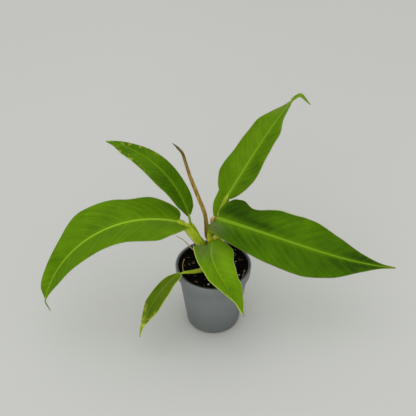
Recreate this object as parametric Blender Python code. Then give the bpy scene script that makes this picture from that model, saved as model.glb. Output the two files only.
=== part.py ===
"""A young philodendron in a plain moulded nursery pot. Blender 4.5, metres, +Z up.

The origin is the middle of the pot's base. Heights in the plant are counted from the potting
soil, so a taller pot lifts the whole plant, and the two leaves that hang over the rim follow it.
"""

import math

import bmesh
import bpy
from mathutils import Matrix, Vector, noise

MM = 0.001
GAP = 0.3 * MM  # clearance between two neighbouring pieces
SAME_POINT = 0.01 * MM  # points nearer than this are merged

# Pot
POT_HEIGHT = 115 * MM
RIM_RADIUS = 60 * MM
RIM_WIDTH = 4.5 * MM  # flat ring on top of the rim
RIM_DEPTH = 15 * MM  # skirt that hangs outside the wall
SKIRT_DRAFT = 1.2 * MM  # how far the skirt leans in at its lower edge
SKIRT_WALL = 1.3 * MM
BASE_RADIUS = 42 * MM
POT_WALL = 1.4 * MM
BASE_ROUNDING = 8 * MM
BASE_ARC = (-90, -6)  # degrees, from the floor round to the wall
FLOOR_RING = 0.6  # a ring of points in the floor, as a share of its flat part
RIM_OUTER_EDGE = 0.8 * MM  # chamfers on the rim's two edges
RIM_INNER_EDGE = 0.5 * MM
POT_SEGMENTS = 48
DRAIN_HOLES = 8
DRAIN_RADIUS = 3.5 * MM
DRAIN_CIRCLE = 24 * MM

# Potting soil
SOIL_BELOW_RIM = 8 * MM
SOIL_BUMPS = 1.1 * MM
SOIL_BUMP_SPACING = 11 * MM
SOIL_SEGMENTS = 40
SOIL_RINGS = 6

# Stem
STEM_RADIUS = 5 * MM
STEM_HEIGHT = 56 * MM  # above the soil
STEM_DEPTH = 30 * MM  # below the soil
STEM_FOOT = (-2 * MM, 6 * MM)
STEM_LEAN = (-4 * MM, -1 * MM)
NODE_SWELLING = 0.25 * MM
NODE_SPACING = 14 * MM

# Leaf blades
BLADE_THICKNESS = 1.0 * MM
RIB_THICKNESS = 2.2 * MM
TIP_HALF_WIDTH = 0.9 * MM
STATIONS = (0, 0.07, 0.17, 0.33, 0.5, 0.67, 0.83, 0.94, 1)  # shares of a blade's length
LOBE_REACH = 0.3  # share of the blade that the basal lobes sweep back
FRONT_REACH = 22 * MM  # front leaf's foot, out from the stem's
FRONT_LEFT_OUTSET = 1 * MM  # front left leaf's foot, outside the rim
FRONT_LEFT_RISE = 11 * MM  # and above it

SOIL_TOP = POT_HEIGHT - SOIL_BELOW_RIM
WALL_TOP_RADIUS = RIM_RADIUS - RIM_WIDTH
FRONT_LEFT_BEARING = math.radians(215)
FRONT_LEFT_FOOT = (
    (RIM_RADIUS + FRONT_LEFT_OUTSET) * math.cos(FRONT_LEFT_BEARING) / MM,
    (RIM_RADIUS + FRONT_LEFT_OUTSET) * math.sin(FRONT_LEFT_BEARING) / MM,
    (SOIL_BELOW_RIM + FRONT_LEFT_RISE) / MM,
)
FRONT_FOOT = (-11, (STEM_FOOT[1] - FRONT_REACH) / MM, 55)

# Lengths in millimetres and angles in degrees. foot: where the blade meets its stalk, x, y and
# height above the soil. heading: compass angle of the midrib, from +X towards +Y, and turn: how
# much it swings on the way. rise: its slope at the foot, droop: how much it bends down by the
# tip, power: how late. roll lifts the left half, fold lifts both. left and right: half widths at
# STATIONS. lobes: how far the two halves sweep back behind the foot. tail: length, half width,
# turn and droop of the thin drip tip. stalk: height of its joint on the stem, bearing there,
# climb of the stalk there, radius there and at the blade. segments: along and across.
LEAVES = {
    "right": dict(
        foot=(7, 6, 95), length=284, heading=-3, turn=-13, rise=-19, droop=-27, power=3.0,
        roll=40, fold=12, lobes=(2, 18),
        left=(18, 36, 30, 43, 42, 29, 12, 3, 1), right=(15, 29, 38, 46, 47, 36, 15, 3, 1),
        tail=None, stalk=(41, 5, 80, 3.4, 2.2), segments=(26, 8),
        colour=(0.045, 0.090, 0.004),
    ),
    "left": dict(
        foot=(-52, 4, 89), length=269, heading=184, turn=30, rise=18, droop=91, power=1.1,
        roll=-12, fold=12, lobes=(14, 1),
        left=(10, 32, 50, 44, 37, 30, 19, 7, 1), right=(20, 31, 38, 43, 45, 29, 19, 14, 1),
        tail=(18, 1.2, 0, 35), stalk=(37, 185, 50, 5.0, 3.8), segments=(26, 8),
        colour=(0.090, 0.160, 0.006),
    ),
    "upper_left": dict(
        foot=(-38, 8, 100), length=181, heading=163, turn=2, rise=75, droop=74, power=1.2,
        roll=-20, fold=12, lobes=(1, 3),
        left=(3, 10, 18, 24, 27, 22, 16, 5, 1), right=(3, 14, 17, 18, 18, 14, 8, 3, 1),
        tail=None, stalk=(30, 140, 45, 2.4, 1.7), segments=(20, 6),
        colour=(0.058, 0.125, 0.004),
    ),
    "upper_right": dict(
        foot=(21, 30, 118), length=176, heading=36, turn=5, rise=50, droop=17, power=2.2,
        roll=5, fold=12, lobes=(1, 1),
        left=(16, 27, 35, 33, 30, 28, 16, 5, 1.5), right=(7, 18, 27, 31, 25, 23, 10, 5, 1.5),
        tail=(40, 2.6, -10, 90), stalk=(51, 60, 72, 3.2, 2.4), segments=(22, 6),
        colour=(0.075, 0.150, 0.004),
    ),
    "front": dict(
        foot=FRONT_FOOT, length=122, heading=-68, turn=40, rise=-30, droop=31, power=1.8,
        roll=0, fold=12, lobes=(7, 8),
        left=(26, 32, 37, 30, 26, 22, 13, 3, 1), right=(18, 25, 27, 23, 18, 8, 3, 2, 1),
        tail=None, stalk=(19, 262, 70, 2.8, 2.0), segments=(18, 8),
        colour=(0.085, 0.165, 0.007),
    ),
    "front_left": dict(
        foot=FRONT_LEFT_FOOT, length=126, heading=218, turn=1, rise=-3, droop=74, power=0.7,
        roll=0, fold=12, lobes=(0, 0),
        left=(4, 9, 12, 19, 20, 14, 4, 2, 1), right=(3, 7, 11, 13, 13, 9, 4, 2, 1),
        tail=None, stalk=(5, 240, 0, 2.8, 1.4), segments=(16, 6),
        colour=(0.100, 0.150, 0.015),
    ),
    "back": dict(
        foot=(6, 38, 64), length=88, heading=46, turn=0, rise=73, droop=25, power=1.2,
        roll=0, fold=14, lobes=(0, 0),
        left=(3, 8, 12, 14, 13, 10, 6, 2, 1), right=(3, 8, 12, 14, 13, 10, 6, 2, 1),
        tail=None, stalk=(43, 80, 40, 2.2, 1.6), segments=(14, 6),
        colour=(0.080, 0.170, 0.006),
    ),
}

STALK_END_STRAIGHT = 1.5 * MM  # last stretch of a stalk, in line with its blade
STALK_BEND = 5 * MM  # how tightly it bends before that
STALK_END_GAP = 2.8 * GAP
SINUS_MARGIN = 1.4 * MM  # room beside a stalk, between the basal lobes

# Sheaths and the new leaf
SHEATH_THICKNESS = 0.9 * MM
NEW_LEAF_RADIUS = 2.7 * MM
NEW_LEAF_TIP_RADIUS = 0.7 * MM
# Route above the stem's top, in millimetres from there
NEW_LEAF_ROUTE = ((0, 0, 0), (-3, 1, 24), (-11, 3, 55), (-22, 5, 92), (-31, 6, 127), (-36, 6, 147),
                  (-45, 6, 160), (-54, 6, 171))

# Roots
ROOT_COUNT = 6
ROOT_RADIUS = 1.6 * MM
ROOT_TIP_RADIUS = 0.8 * MM
ROOT_WALL_INSET = 7 * MM
ROOT_DEPTHS = (0.55, 0.9)  # joints on the stem, as shares of its buried length
ROOT_TURN = 0.3  # bearing of the first root, in radians
ROOT_END_STEP = 9 * MM  # the ends lie at three heights
ROOT_BOW = 7 * MM  # how far a root's middle stands out, up and sideways
ROOT_RISE = 9 * MM
ROOT_DRIFT = 3 * MM
AERIAL_ROOT_RADIUS = 1.3 * MM
AERIAL_ROOT_JOINT = 13 * MM  # above the soil
AERIAL_ROOT_BEARING = math.radians(140)
# Share of the rim's radius, bearing in radians, millimetres above the rim
AERIAL_ROOT_ROUTE = ((0.66, 2.5, 8), (0.96, 2.52, 16), (1.2, 2.55, 26))
SURFACE_ROOT_RADIUS = 1.1 * MM
SURFACE_ROOT_INSET = 4.5 * MM

# Loose pieces on the soil: bearing in degrees, distance in from the wall, length, width, height
BARK_CHIPS = ((42, 9, 9, 5, 2.6), (128, 10, 8, 6, 3.4), (231, 11, 7, 4, 2.2))
PERLITE = ((259, 14, 3.2, 2.8, 2.2), (335, 10, 2.8, 2.4, 2.0), (20, 16, 2.4, 2.4, 1.8))


def clear_scene():
    for item in list(bpy.data.objects):
        bpy.data.objects.remove(item, do_unlink=True)


def material(name, colour, roughness):
    made = bpy.data.materials.new(name)
    made.use_nodes = True
    shader = made.node_tree.nodes["Principled BSDF"]
    shader.inputs["Base Color"].default_value = (*colour, 1)
    shader.inputs["Roughness"].default_value = roughness
    shader.inputs["Metallic"].default_value = 0
    return made


def finished(name, bm, finish):
    """Turns a bmesh into an object of the scene, smooth but for its sharp edges."""
    bmesh.ops.recalc_face_normals(bm, faces=bm.faces)
    mesh = bpy.data.meshes.new(name)
    bm.to_mesh(mesh)
    bm.free()
    mesh.materials.append(finish)
    mesh.shade_smooth()
    mesh.set_sharp_from_angle(angle=math.radians(40))
    made = bpy.data.objects.new(name, mesh)
    bpy.context.scene.collection.objects.link(made)
    return made


def cut(piece, cutters):
    """Cuts hidden tool shapes out of a piece with Booleans."""
    for cutter in cutters:
        cutter.hide_render = True
        cutter.display_type = "WIRE"
        step = piece.modifiers.new("cut " + cutter.name, "BOOLEAN")
        step.operation = "DIFFERENCE"
        step.solver = "EXACT"
        step.object = cutter


def smooth_value(stations, values, t):
    """A curve through the values that never overshoots them."""
    slopes = [
        (b - a) / (q - p) for a, b, p, q in zip(values, values[1:], stations, stations[1:])
    ]
    tangents = [slopes[0]]
    for before, after in zip(slopes, slopes[1:]):
        turning = before * after <= 0
        tangents.append(0 if turning else 2 * before * after / (before + after))
    tangents.append(slopes[-1])
    i = max(k for k in range(len(slopes)) if stations[k] <= t or k == 0)
    span = stations[i + 1] - stations[i]
    u = (t - stations[i]) / span
    return (
        (1 + 2 * u) * (1 - u) ** 2 * values[i]
        + u * (1 - u) ** 2 * span * tangents[i]
        + u * u * (3 - 2 * u) * values[i + 1]
        + u * u * (u - 1) * span * tangents[i + 1]
    )


def smooth_route(points, steps):
    """Points along a smooth curve through the given ones."""
    points = [Vector(p) for p in points]
    ends = [2 * points[0] - points[1], *points, 2 * points[-1] - points[-2]]
    route = []
    for a, b, c, d in zip(ends, ends[1:], ends[2:], ends[3:]):
        for k in range(steps):
            u = k / steps
            route.append(
                0.5 * (2 * b + (c - a) * u + (2 * a - 5 * b + 4 * c - d) * u * u
                       + (3 * b - a - 3 * c + d) * u ** 3)
            )
    return [*route, points[-1]]


def bezier_route(start, leave, arrive, end, steps):
    route = []
    for k in range(steps + 1):
        u = k / steps
        route.append(
            start * (1 - u) ** 3 + leave * 3 * u * (1 - u) ** 2 + arrive * 3 * u * u * (1 - u)
            + end * u ** 3
        )
    return route


def tube(name, route, radii, finish, sides=8):
    """A round stalk or root: a curve with a bevel and filled caps, made a mesh."""
    curve = bpy.data.curves.new(name + " curve", "CURVE")
    curve.dimensions = "3D"
    curve.bevel_depth = 1
    curve.bevel_resolution = sides // 2 - 2
    curve.use_fill_caps = True
    spline = curve.splines.new("POLY")
    spline.points.add(len(route) - 1)
    for point, place, radius in zip(spline.points, route, radii):
        point.co = (*place, 1)
        point.radius = radius
    guide = bpy.data.objects.new(name + " guide", curve)
    bpy.context.scene.collection.objects.link(guide)
    bpy.context.view_layer.update()
    shape = bpy.data.meshes.new_from_object(guide)
    bpy.data.objects.remove(guide)
    bm = bmesh.new()
    bm.from_mesh(shape)
    bmesh.ops.remove_doubles(bm, verts=bm.verts, dist=SAME_POINT)
    return finished(name, bm, finish)


def tapered(first, last, count):
    return [first + (last - first) * k / (count - 1) for k in range(count)]


def wall_radius(z):
    """Outer radius of the pot's wall, which runs straight from its base to its rim."""
    return BASE_RADIUS + (WALL_TOP_RADIUS + POT_WALL - BASE_RADIUS) * z / POT_HEIGHT


def soil_radius(z):
    return wall_radius(z) - POT_WALL - GAP


def soil_height(x, y):
    bumps = noise.noise(Vector((x, y, 0)) / SOIL_BUMP_SPACING)
    return SOIL_TOP + SOIL_BUMPS * bumps


def stem_point(height):
    """Middle of the stem at a height above the soil."""
    share = height / STEM_HEIGHT
    return Vector((
        STEM_FOOT[0] + STEM_LEAN[0] * share, STEM_FOOT[1] + STEM_LEAN[1] * share, SOIL_TOP + height
    ))


def stem_radius(height):
    """Swollen at each leaf joint, and a little thinner towards the top."""
    return stem_reach(height) - NODE_SWELLING * (
        1 - math.cos(2 * math.pi * height / NODE_SPACING)
    )


def stem_reach(height):
    """The most that the stem's swellings reach out from its middle near a height."""
    return STEM_RADIUS * (1 - 0.15 * height / STEM_HEIGHT) + NODE_SWELLING


def spun(name, profile, finish, segments):
    """A turned shape from (radius, height) points that start and end on the axis."""
    bm = bmesh.new()
    verts = [bm.verts.new((radius, 0, height)) for radius, height in profile]
    edges = [bm.edges.new(pair) for pair in zip(verts, verts[1:])]
    bmesh.ops.spin(
        bm, geom=verts + edges, cent=(0, 0, 0), axis=(0, 0, 1), angle=2 * math.pi,
        steps=segments, use_merge=True,
    )
    bmesh.ops.remove_doubles(bm, verts=bm.verts, dist=SAME_POINT)
    return finished(name, bm, finish)


def arc_points(centre, radius, start, end, count):
    points = []
    for k in range(count + 1):
        angle = math.radians(start + (end - start) * k / count)
        points.append((centre[0] + radius * math.cos(angle), centre[1] + radius * math.sin(angle)))
    return points


def make_pot():
    """A tapered cup with a skirted rim, a rounded foot and drain holes in its floor."""
    plastic = material("grey pot plastic", (0.155, 0.172, 0.172), 0.45)
    under_rim = POT_HEIGHT - POT_WALL
    skirt_foot = POT_HEIGHT - RIM_DEPTH
    skirt_radius = RIM_RADIUS - SKIRT_DRAFT
    outer_corner = (wall_radius(BASE_ROUNDING) - BASE_ROUNDING, BASE_ROUNDING)
    inner_corner = (outer_corner[0], BASE_ROUNDING)
    profile = [(0, 0), (FLOOR_RING * outer_corner[0], 0)]
    profile += arc_points(outer_corner, BASE_ROUNDING, *BASE_ARC, 4)
    profile += [(wall_radius(under_rim), under_rim)]
    profile += [(RIM_RADIUS - SKIRT_WALL, under_rim)]
    profile += [(skirt_radius - SKIRT_WALL, skirt_foot), (skirt_radius, skirt_foot)]
    profile += [(RIM_RADIUS, POT_HEIGHT - RIM_OUTER_EDGE)]
    profile += [(RIM_RADIUS - RIM_OUTER_EDGE, POT_HEIGHT)]
    profile += [(WALL_TOP_RADIUS + RIM_INNER_EDGE, POT_HEIGHT)]
    profile += [(WALL_TOP_RADIUS, POT_HEIGHT - RIM_INNER_EDGE)]
    profile += reversed(arc_points(inner_corner, BASE_ROUNDING - POT_WALL, *BASE_ARC, 4))
    profile += [(FLOOR_RING * inner_corner[0], POT_WALL), (0, POT_WALL)]
    pot = spun("nursery_pot", profile, plastic, POT_SEGMENTS)
    drills = []
    for k in range(DRAIN_HOLES):
        angle = 2 * math.pi * (k + 0.5) / DRAIN_HOLES
        place = Matrix.Translation((
            DRAIN_CIRCLE * math.cos(angle), DRAIN_CIRCLE * math.sin(angle), POT_WALL / 2
        ))
        bm = bmesh.new()
        bmesh.ops.create_cone(
            bm, cap_ends=True, segments=12, radius1=DRAIN_RADIUS, radius2=DRAIN_RADIUS,
            depth=4 * POT_WALL, matrix=place,
        )
        drills.append(finished(f"drain drill {k + 1}", bm, plastic))
    cut(pot, drills)


def make_soil(sockets):
    """Potting mix that fills the pot, with an uneven top and a socket for the stem and roots."""
    mix = material("potting mix", (0.012, 0.009, 0.007), 0.95)
    floor = POT_WALL + GAP
    corner_radius = BASE_ROUNDING - POT_WALL - GAP
    corner = (soil_radius(BASE_ROUNDING) - corner_radius, BASE_ROUNDING)
    profile = [(0, floor)]
    profile += arc_points(corner, corner_radius, *BASE_ARC, 3)
    top_radius = soil_radius(SOIL_TOP)
    profile += [(soil_radius(SOIL_TOP / 2), SOIL_TOP / 2)]
    profile += [(top_radius * k / SOIL_RINGS, SOIL_TOP) for k in range(SOIL_RINGS, -1, -1)]
    soil = spun("potting_soil", profile, mix, SOIL_SEGMENTS)
    for vert in soil.data.vertices:
        if vert.co.z > SOIL_TOP - SAME_POINT:
            vert.co.z = soil_height(vert.co.x, vert.co.y)
    cut(soil, sockets)


def make_stem():
    """The short stem and, for the soil's Boolean, a socket that is one clearance wider."""
    green = material("stem green", (0.035, 0.045, 0.008), 0.5)
    heights = [-STEM_DEPTH + (STEM_HEIGHT + STEM_DEPTH) * k / 24 for k in range(25)]
    route = [stem_point(height) for height in heights]
    radii = [stem_radius(height) for height in heights]
    tube("stem", route, radii, green, sides=12)
    route[0] = route[0] - Vector((0, 0, GAP))
    return tube("stem socket", route, [radius + GAP for radius in radii], green, sides=12)


def make_roots():
    """Thick roots that leave the stem's foot and curve down along the pot, and their sockets."""
    tan = material("root tan", (0.30, 0.19, 0.09), 0.8)
    sockets = []
    for k in range(ROOT_COUNT):
        height = -STEM_DEPTH * ROOT_DEPTHS[k % 2]
        bearing = 2 * math.pi * k / ROOT_COUNT + ROOT_TURN
        out = Vector((math.cos(bearing), math.sin(bearing), 0))
        side = Vector((-out.y, out.x, 0))
        foot = stem_point(height)
        start = foot + out * (stem_reach(height) + GAP + 0.5 * ROOT_RADIUS)
        low = POT_WALL + ROOT_WALL_INSET + ROOT_END_STEP * (k % 3)
        reach = soil_radius(low) - ROOT_WALL_INSET
        end = Vector((reach * out.x, reach * out.y, low)) + side * 2 * ROOT_DRIFT
        knee = (start + end) / 2 + out * ROOT_BOW + Vector((0, 0, ROOT_RISE)) - side * ROOT_DRIFT
        route = smooth_route([start, knee, end], 4)
        radii = tapered(ROOT_RADIUS, ROOT_TIP_RADIUS, len(route))
        tube(f"root_{k + 1}", route, radii, tan, sides=6)
        wider = [radius + 1.5 * GAP for radius in radii]
        inward = route[0] - out * (0.5 * ROOT_RADIUS + 4 * GAP)
        ahead = route[-1] + (route[-1] - route[-2]).normalized() * GAP
        sockets.append(
            tube(f"root socket {k + 1}", [inward, *route, ahead], [wider[0], *wider, wider[-1]],
                 tan, sides=6)
        )
    return sockets


def leaf_spine(leaf, rows):
    """Points, directions and level sideways directions along a midrib, tail included."""
    length = leaf["length"] * MM
    tail = leaf["tail"] or (0, 0, 0, 0)
    whole = length + tail[0] * MM
    steps = 8 * rows
    place = Vector(leaf["foot"]) * MM + Vector((0, 0, SOIL_TOP))
    spine = []
    for k in range(steps + 1):
        far = whole * k / steps
        t = min(far / length, 1)
        over = max(far - length, 0) / (tail[0] * MM) if tail[0] else 0
        heading = math.radians(leaf["heading"] + leaf["turn"] * t + tail[2] * over)
        slope = math.radians(leaf["rise"] - leaf["droop"] * t ** leaf["power"] - tail[3] * over)
        ahead = Vector((
            math.cos(slope) * math.cos(heading), math.cos(slope) * math.sin(heading),
            math.sin(slope),
        ))
        left = Vector((-math.sin(heading), math.cos(heading), 0))
        if k % 8 == 0:
            spine.append((place.copy(), ahead, left, t, over))
        place += ahead * whole / steps
    return spine


def half_width(leaf, side, t, over):
    if over > 0:
        widest = leaf["tail"][1] * MM
        return max(widest * math.sin(math.pi * (0.35 + 0.65 * over)), TIP_HALF_WIDTH)
    return max(smooth_value(STATIONS, leaf[side], t) * MM, TIP_HALF_WIDTH)


def make_blade(name, leaf):
    """A blade: a sheet bent along its midrib, thick at the rib and thin at its margins."""
    along, across = leaf["segments"]
    if leaf["tail"]:
        along += 4
    spine = leaf_spine(leaf, along)
    bm = bmesh.new()
    bmesh.ops.create_grid(bm, x_segments=across, y_segments=along, size=1)
    roll = math.radians(leaf["roll"])
    fold = math.radians(leaf["fold"])
    sinus = leaf["stalk"][4] * MM + SINUS_MARGIN
    thickness = {}
    for vert in bm.verts:
        v = vert.co.x
        row = round((vert.co.y + 1) / 2 * along)
        place, ahead, level, t, over = spine[row]
        up = ahead.cross(level)
        left = level * math.cos(roll) + up * math.sin(roll)
        face = ahead.cross(left)
        side = "left" if v > 0 else "right"
        width = half_width(leaf, side, t, over)
        lobe = leaf["lobes"][0 if v > 0 else 1] * MM
        beside_stalk = max(abs(v) * width - sinus, 0) / max(width - sinus, GAP)
        back = lobe * beside_stalk ** 1.6 * max(1 - t / LOBE_REACH, 0) ** 2
        vert.co = (
            place + left * v * width * math.cos(fold) + face * abs(v) * width * math.sin(fold)
            - ahead * back
        )
        thin = BLADE_THICKNESS / RIB_THICKNESS
        thickness[vert.index] = thin + (1 - thin) * (1 - abs(v)) ** 4 * (1 - t) ** 0.5
    for face in bm.faces:
        face.smooth = True
    bm.normal_update()
    blade = finished("leaf_" + name, bm, material("leaf " + name, leaf["colour"], 0.38))
    group = blade.vertex_groups.new(name="thickness")
    for index, weight in thickness.items():
        group.add([index], weight, "REPLACE")
    shell = blade.modifiers.new("thickness", "SOLIDIFY")
    shell.thickness = RIB_THICKNESS
    shell.offset = 0
    shell.vertex_group = "thickness"
    return blade


def make_stalk(name, leaf):
    """A leaf's stalk, from its joint on the stem to its blade. Returns its route and radii."""
    height, bearing, climb, thick, thin = leaf["stalk"]
    bearing = math.radians(bearing)
    climb = math.radians(climb)
    outward = Vector((math.cos(bearing), math.sin(bearing), 0))
    leave = outward * math.cos(climb) + Vector((0, 0, math.sin(climb)))
    joint = stem_point(height * MM)
    clear = stem_reach(height * MM) + GAP + thick * MM * math.sin(climb)
    start = joint + outward * clear
    spine = leaf_spine(leaf, leaf["segments"][0])
    foot, ahead = spine[0][0], spine[0][1]
    end = foot - ahead * STALK_END_GAP
    bend = end - ahead * STALK_END_STRAIGHT
    reach = (bend - start).length
    route = bezier_route(
        start, start + leave * 0.4 * reach, bend - ahead * STALK_BEND, bend, 9
    )
    route.append(end)
    radii = tapered(thick * MM, thin * MM, len(route))
    tube("petiole_" + name, route, radii, material("stalk " + name, (0.20, 0.28, 0.03), 0.45))
    return route, radii


def make_sheath(name, route, radii, bearing, sweep, flare, colour):
    """A thin winged sheath wrapped part of the way round a stalk. bearing 0 faces the front."""
    rows = len(route) - 1
    columns = 6
    bm = bmesh.new()
    bmesh.ops.create_grid(bm, x_segments=columns, y_segments=rows, size=1)
    for vert in bm.verts:
        row = round((vert.co.y + 1) / 2 * rows)
        ahead = (route[min(row + 1, rows)] - route[max(row - 1, 0)]).normalized()
        front = (ahead * ahead.y - Vector((0, 1, 0))).normalized()
        right = ahead.cross(front)
        narrowing = 1 - 0.75 * (row / rows) ** 2
        angle = math.radians(bearing + vert.co.x * sweep * narrowing)
        out = front * math.cos(angle) + right * math.sin(angle)
        proud = GAP * 1.6 + SHEATH_THICKNESS / 2 + flare * abs(vert.co.x) ** 2
        vert.co = route[row] + out * (radii[row] + proud)
    sheath = finished(name, bm, material(name, colour, 0.55))
    shell = sheath.modifiers.new("thickness", "SOLIDIFY")
    shell.thickness = SHEATH_THICKNESS
    shell.offset = 0
    return sheath


def make_new_leaf():
    """The next leaf, still rolled into a long thin spike on top of the stem."""
    olive = material("new leaf olive", (0.17, 0.13, 0.03), 0.5)
    top = stem_point(STEM_HEIGHT) + Vector((0, 0, GAP))
    route = smooth_route([top + Vector(point) * MM for point in NEW_LEAF_ROUTE], 3)
    tube("new_leaf", route, tapered(NEW_LEAF_RADIUS, NEW_LEAF_TIP_RADIUS, len(route)), olive)


def make_aerial_root():
    """A root that leaves the stem above the soil and reaches out over the rim."""
    out = Vector((math.cos(AERIAL_ROOT_BEARING), math.sin(AERIAL_ROOT_BEARING), 0))
    clear = stem_reach(AERIAL_ROOT_JOINT) + GAP + 0.5 * AERIAL_ROOT_RADIUS
    points = [stem_point(AERIAL_ROOT_JOINT) + out * clear]
    for share, bearing, above_rim in AERIAL_ROOT_ROUTE:
        reach = share * RIM_RADIUS
        points.append(Vector((
            reach * math.cos(bearing), reach * math.sin(bearing), POT_HEIGHT + above_rim * MM
        )))
    route = smooth_route(points, 4)
    tan = material("aerial root tan", (0.30, 0.24, 0.10), 0.7)
    radii = tapered(AERIAL_ROOT_RADIUS, 0.6 * AERIAL_ROOT_RADIUS, len(route))
    tube("aerial_root", route, radii, tan, sides=6)


def make_surface_root(name, first, last, drift):
    """A root that lies on the soil near the wall, from one bearing to another, in degrees."""
    tan = material(name + " tan", (0.34, 0.24, 0.10), 0.75)
    route = []
    for k in range(9):
        share = k / 8
        bearing = math.radians(first + (last - first) * share)
        radius = soil_radius(SOIL_TOP) - SURFACE_ROOT_INSET - drift * share
        x, y = radius * math.cos(bearing), radius * math.sin(bearing)
        route.append(Vector((x, y, soil_height(x, y) + SURFACE_ROOT_RADIUS + 2.2 * GAP)))
    radii = tapered(SURFACE_ROOT_RADIUS, 0.7 * SURFACE_ROOT_RADIUS, len(route))
    tube(name, route, radii, tan, sides=6)


def make_crumb(name, size, finish):
    """A bark chip or a grain of perlite that lies on the soil."""
    bearing, inset, length, width, height = size
    bearing = math.radians(bearing)
    radius = soil_radius(SOIL_TOP) - inset * MM
    x, y = radius * math.cos(bearing), radius * math.sin(bearing)
    bm = bmesh.new()
    bmesh.ops.create_icosphere(bm, subdivisions=2, radius=0.5)
    for vert in bm.verts:
        vert.co *= 1 + 0.35 * noise.noise(vert.co * 2.3 + Vector((inset, bearing, length)))
    scale = Matrix.Diagonal((length * MM, width * MM, height * MM, 1))
    turn = Matrix.Rotation(2.2 * bearing, 4, "Z")
    bmesh.ops.transform(bm, matrix=turn @ scale, verts=bm.verts)
    drop = min(vert.co.z - soil_height(x + vert.co.x, y + vert.co.y) for vert in bm.verts)
    bmesh.ops.translate(bm, verts=bm.verts, vec=(x, y, 1.6 * GAP - drop))
    finished(name, bm, finish)


def main():
    clear_scene()
    make_pot()
    sockets = [make_stem(), *make_roots()]
    make_soil(sockets)
    stalks = {}
    for name, leaf in LEAVES.items():
        make_blade(name, leaf)
        stalks[name] = make_stalk(name, leaf)
    make_new_leaf()
    route, radii = stalks["left"]
    make_sheath("sheath_left", route[1:9], radii[1:9], 60, 75, 0.6 * MM, (0.42, 0.45, 0.07))
    route, radii = stalks["right"]
    make_sheath("sheath_right", route[1:4], radii[1:4], 60, 80, 1.5 * MM, (0.40, 0.38, 0.05))
    make_sheath("sheath_dry", route[6:9], radii[6:9], -60, 60, 1.5 * MM, (0.23, 0.13, 0.05))
    make_aerial_root()
    make_surface_root("surface_root_left", 158, 200, 2 * MM)
    make_surface_root("surface_root_right", 352, 333, -1 * MM)
    bark = material("bark", (0.075, 0.040, 0.020), 0.9)
    white = material("perlite", (0.55, 0.53, 0.48), 0.9)
    for k, size in enumerate(BARK_CHIPS):
        make_crumb(f"bark_chip_{k + 1}", size, bark)
    for k, size in enumerate(PERLITE):
        make_crumb(f"perlite_{k + 1}", size, white)


main()
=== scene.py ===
"""A young philodendron in a plain grey nursery pot. Blender 4.5, metres, +Z up.

The sections follow the plant as it is potted up: pot, potting mix, stem and roots, blades,
stalks, sheaths and the rolled new leaf, then what lies loose on the mix, and the studio.
"""

import math
import random

import bmesh
import bpy
from mathutils import Matrix, Vector, noise


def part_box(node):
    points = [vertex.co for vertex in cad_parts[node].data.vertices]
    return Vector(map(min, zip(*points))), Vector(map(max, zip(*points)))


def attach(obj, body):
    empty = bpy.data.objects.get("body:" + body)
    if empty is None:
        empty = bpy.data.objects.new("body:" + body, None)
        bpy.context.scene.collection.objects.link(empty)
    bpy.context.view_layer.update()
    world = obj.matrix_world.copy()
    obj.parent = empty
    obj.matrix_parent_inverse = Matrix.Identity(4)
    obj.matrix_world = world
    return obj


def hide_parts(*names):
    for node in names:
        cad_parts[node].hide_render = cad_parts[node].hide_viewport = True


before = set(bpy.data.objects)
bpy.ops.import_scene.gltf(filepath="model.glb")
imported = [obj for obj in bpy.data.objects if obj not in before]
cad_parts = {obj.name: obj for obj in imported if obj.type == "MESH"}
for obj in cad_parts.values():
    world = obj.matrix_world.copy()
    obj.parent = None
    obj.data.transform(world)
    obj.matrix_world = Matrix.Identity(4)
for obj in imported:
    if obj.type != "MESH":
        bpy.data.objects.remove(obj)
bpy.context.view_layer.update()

MM = 0.001

# ---------------------------------------------------------------------------------------------
# Nursery pot: a thin, tapered cup with a skirted rim, injection moulded in grey polypropylene
# with a fine satin texture. Its floor has a ring of drain holes, and it stands on the surface.
# ---------------------------------------------------------------------------------------------

pot_low, pot_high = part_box("nursery_pot")
POT_HEIGHT = pot_high.z - pot_low.z
RIM_RADIUS = (pot_high.x - pot_low.x) / 2
RIM_WIDTH = 4.5 * MM
RIM_DEPTH = 15 * MM
RIM_ROUNDING = 0.9 * MM
SKIRT_DRAFT = 1.2 * MM
SKIRT_WALL = 1.3 * MM
BASE_RADIUS = 42 * MM
POT_WALL = 1.4 * MM
BASE_ROUNDING = 8 * MM
WALL_ANGLE = -6  # degrees, where the base's rounding runs into the wall
FOOT_RISE = 0.8 * MM  # the floor stands this far above the foot ring
POT_SEGMENTS = 128
DRAIN_HOLES = 8
DRAIN_RADIUS = 3.5 * MM
DRAIN_CIRCLE = 24 * MM
POT_GREY = (114, 121, 122)
POT_GREY_WORN = (122, 128, 129)
POT_GREY_DEEP = (108, 115, 116)
# painted shade towards the foot of the wall
POT_GREY_LOW_PAINTED_SHADE = (86, 91, 90)
POT_DUST = (126, 120, 106)
POT_INSIDE_PAINTED_SHADE = (34, 34, 31)  # painted shade, near black, inside the wall and on the rim's inner edge
INSIDE_SHADE_EDGE = (2.2 * MM, 3.4 * MM)  # from full painted shade to none, outwards from the wall's top
INSIDE_SHADE_FADE = 2 * MM
RIM_DUST = 2.2 * MM  # dust lies this far down from the rim's top
FOOT_WEAR = (1 * MM, 12 * MM)  # from full wear to none, upwards from the foot
WALL_STEPS = 8
FOOT_SLOPE = 3 * MM  # the floor starts to slope this far inside the foot ring
FOOT_RING_WIDTH = 2 * MM
FOOT_RING_RISE = 0.1 * MM
FLOOR_DOMING = 0.8 * MM
SKIRT_FILLET = 0.6 * MM
SKIRT_FILLET_START = 1 * MM
INNER_ROUNDING = 0.6 * MM
DRAIN_SEGMENTS = 24
DRILL_LENGTH = 8 * POT_WALL
SHARP_EDGE = math.radians(50)
SAME_POINT = 0.01 * MM


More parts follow.
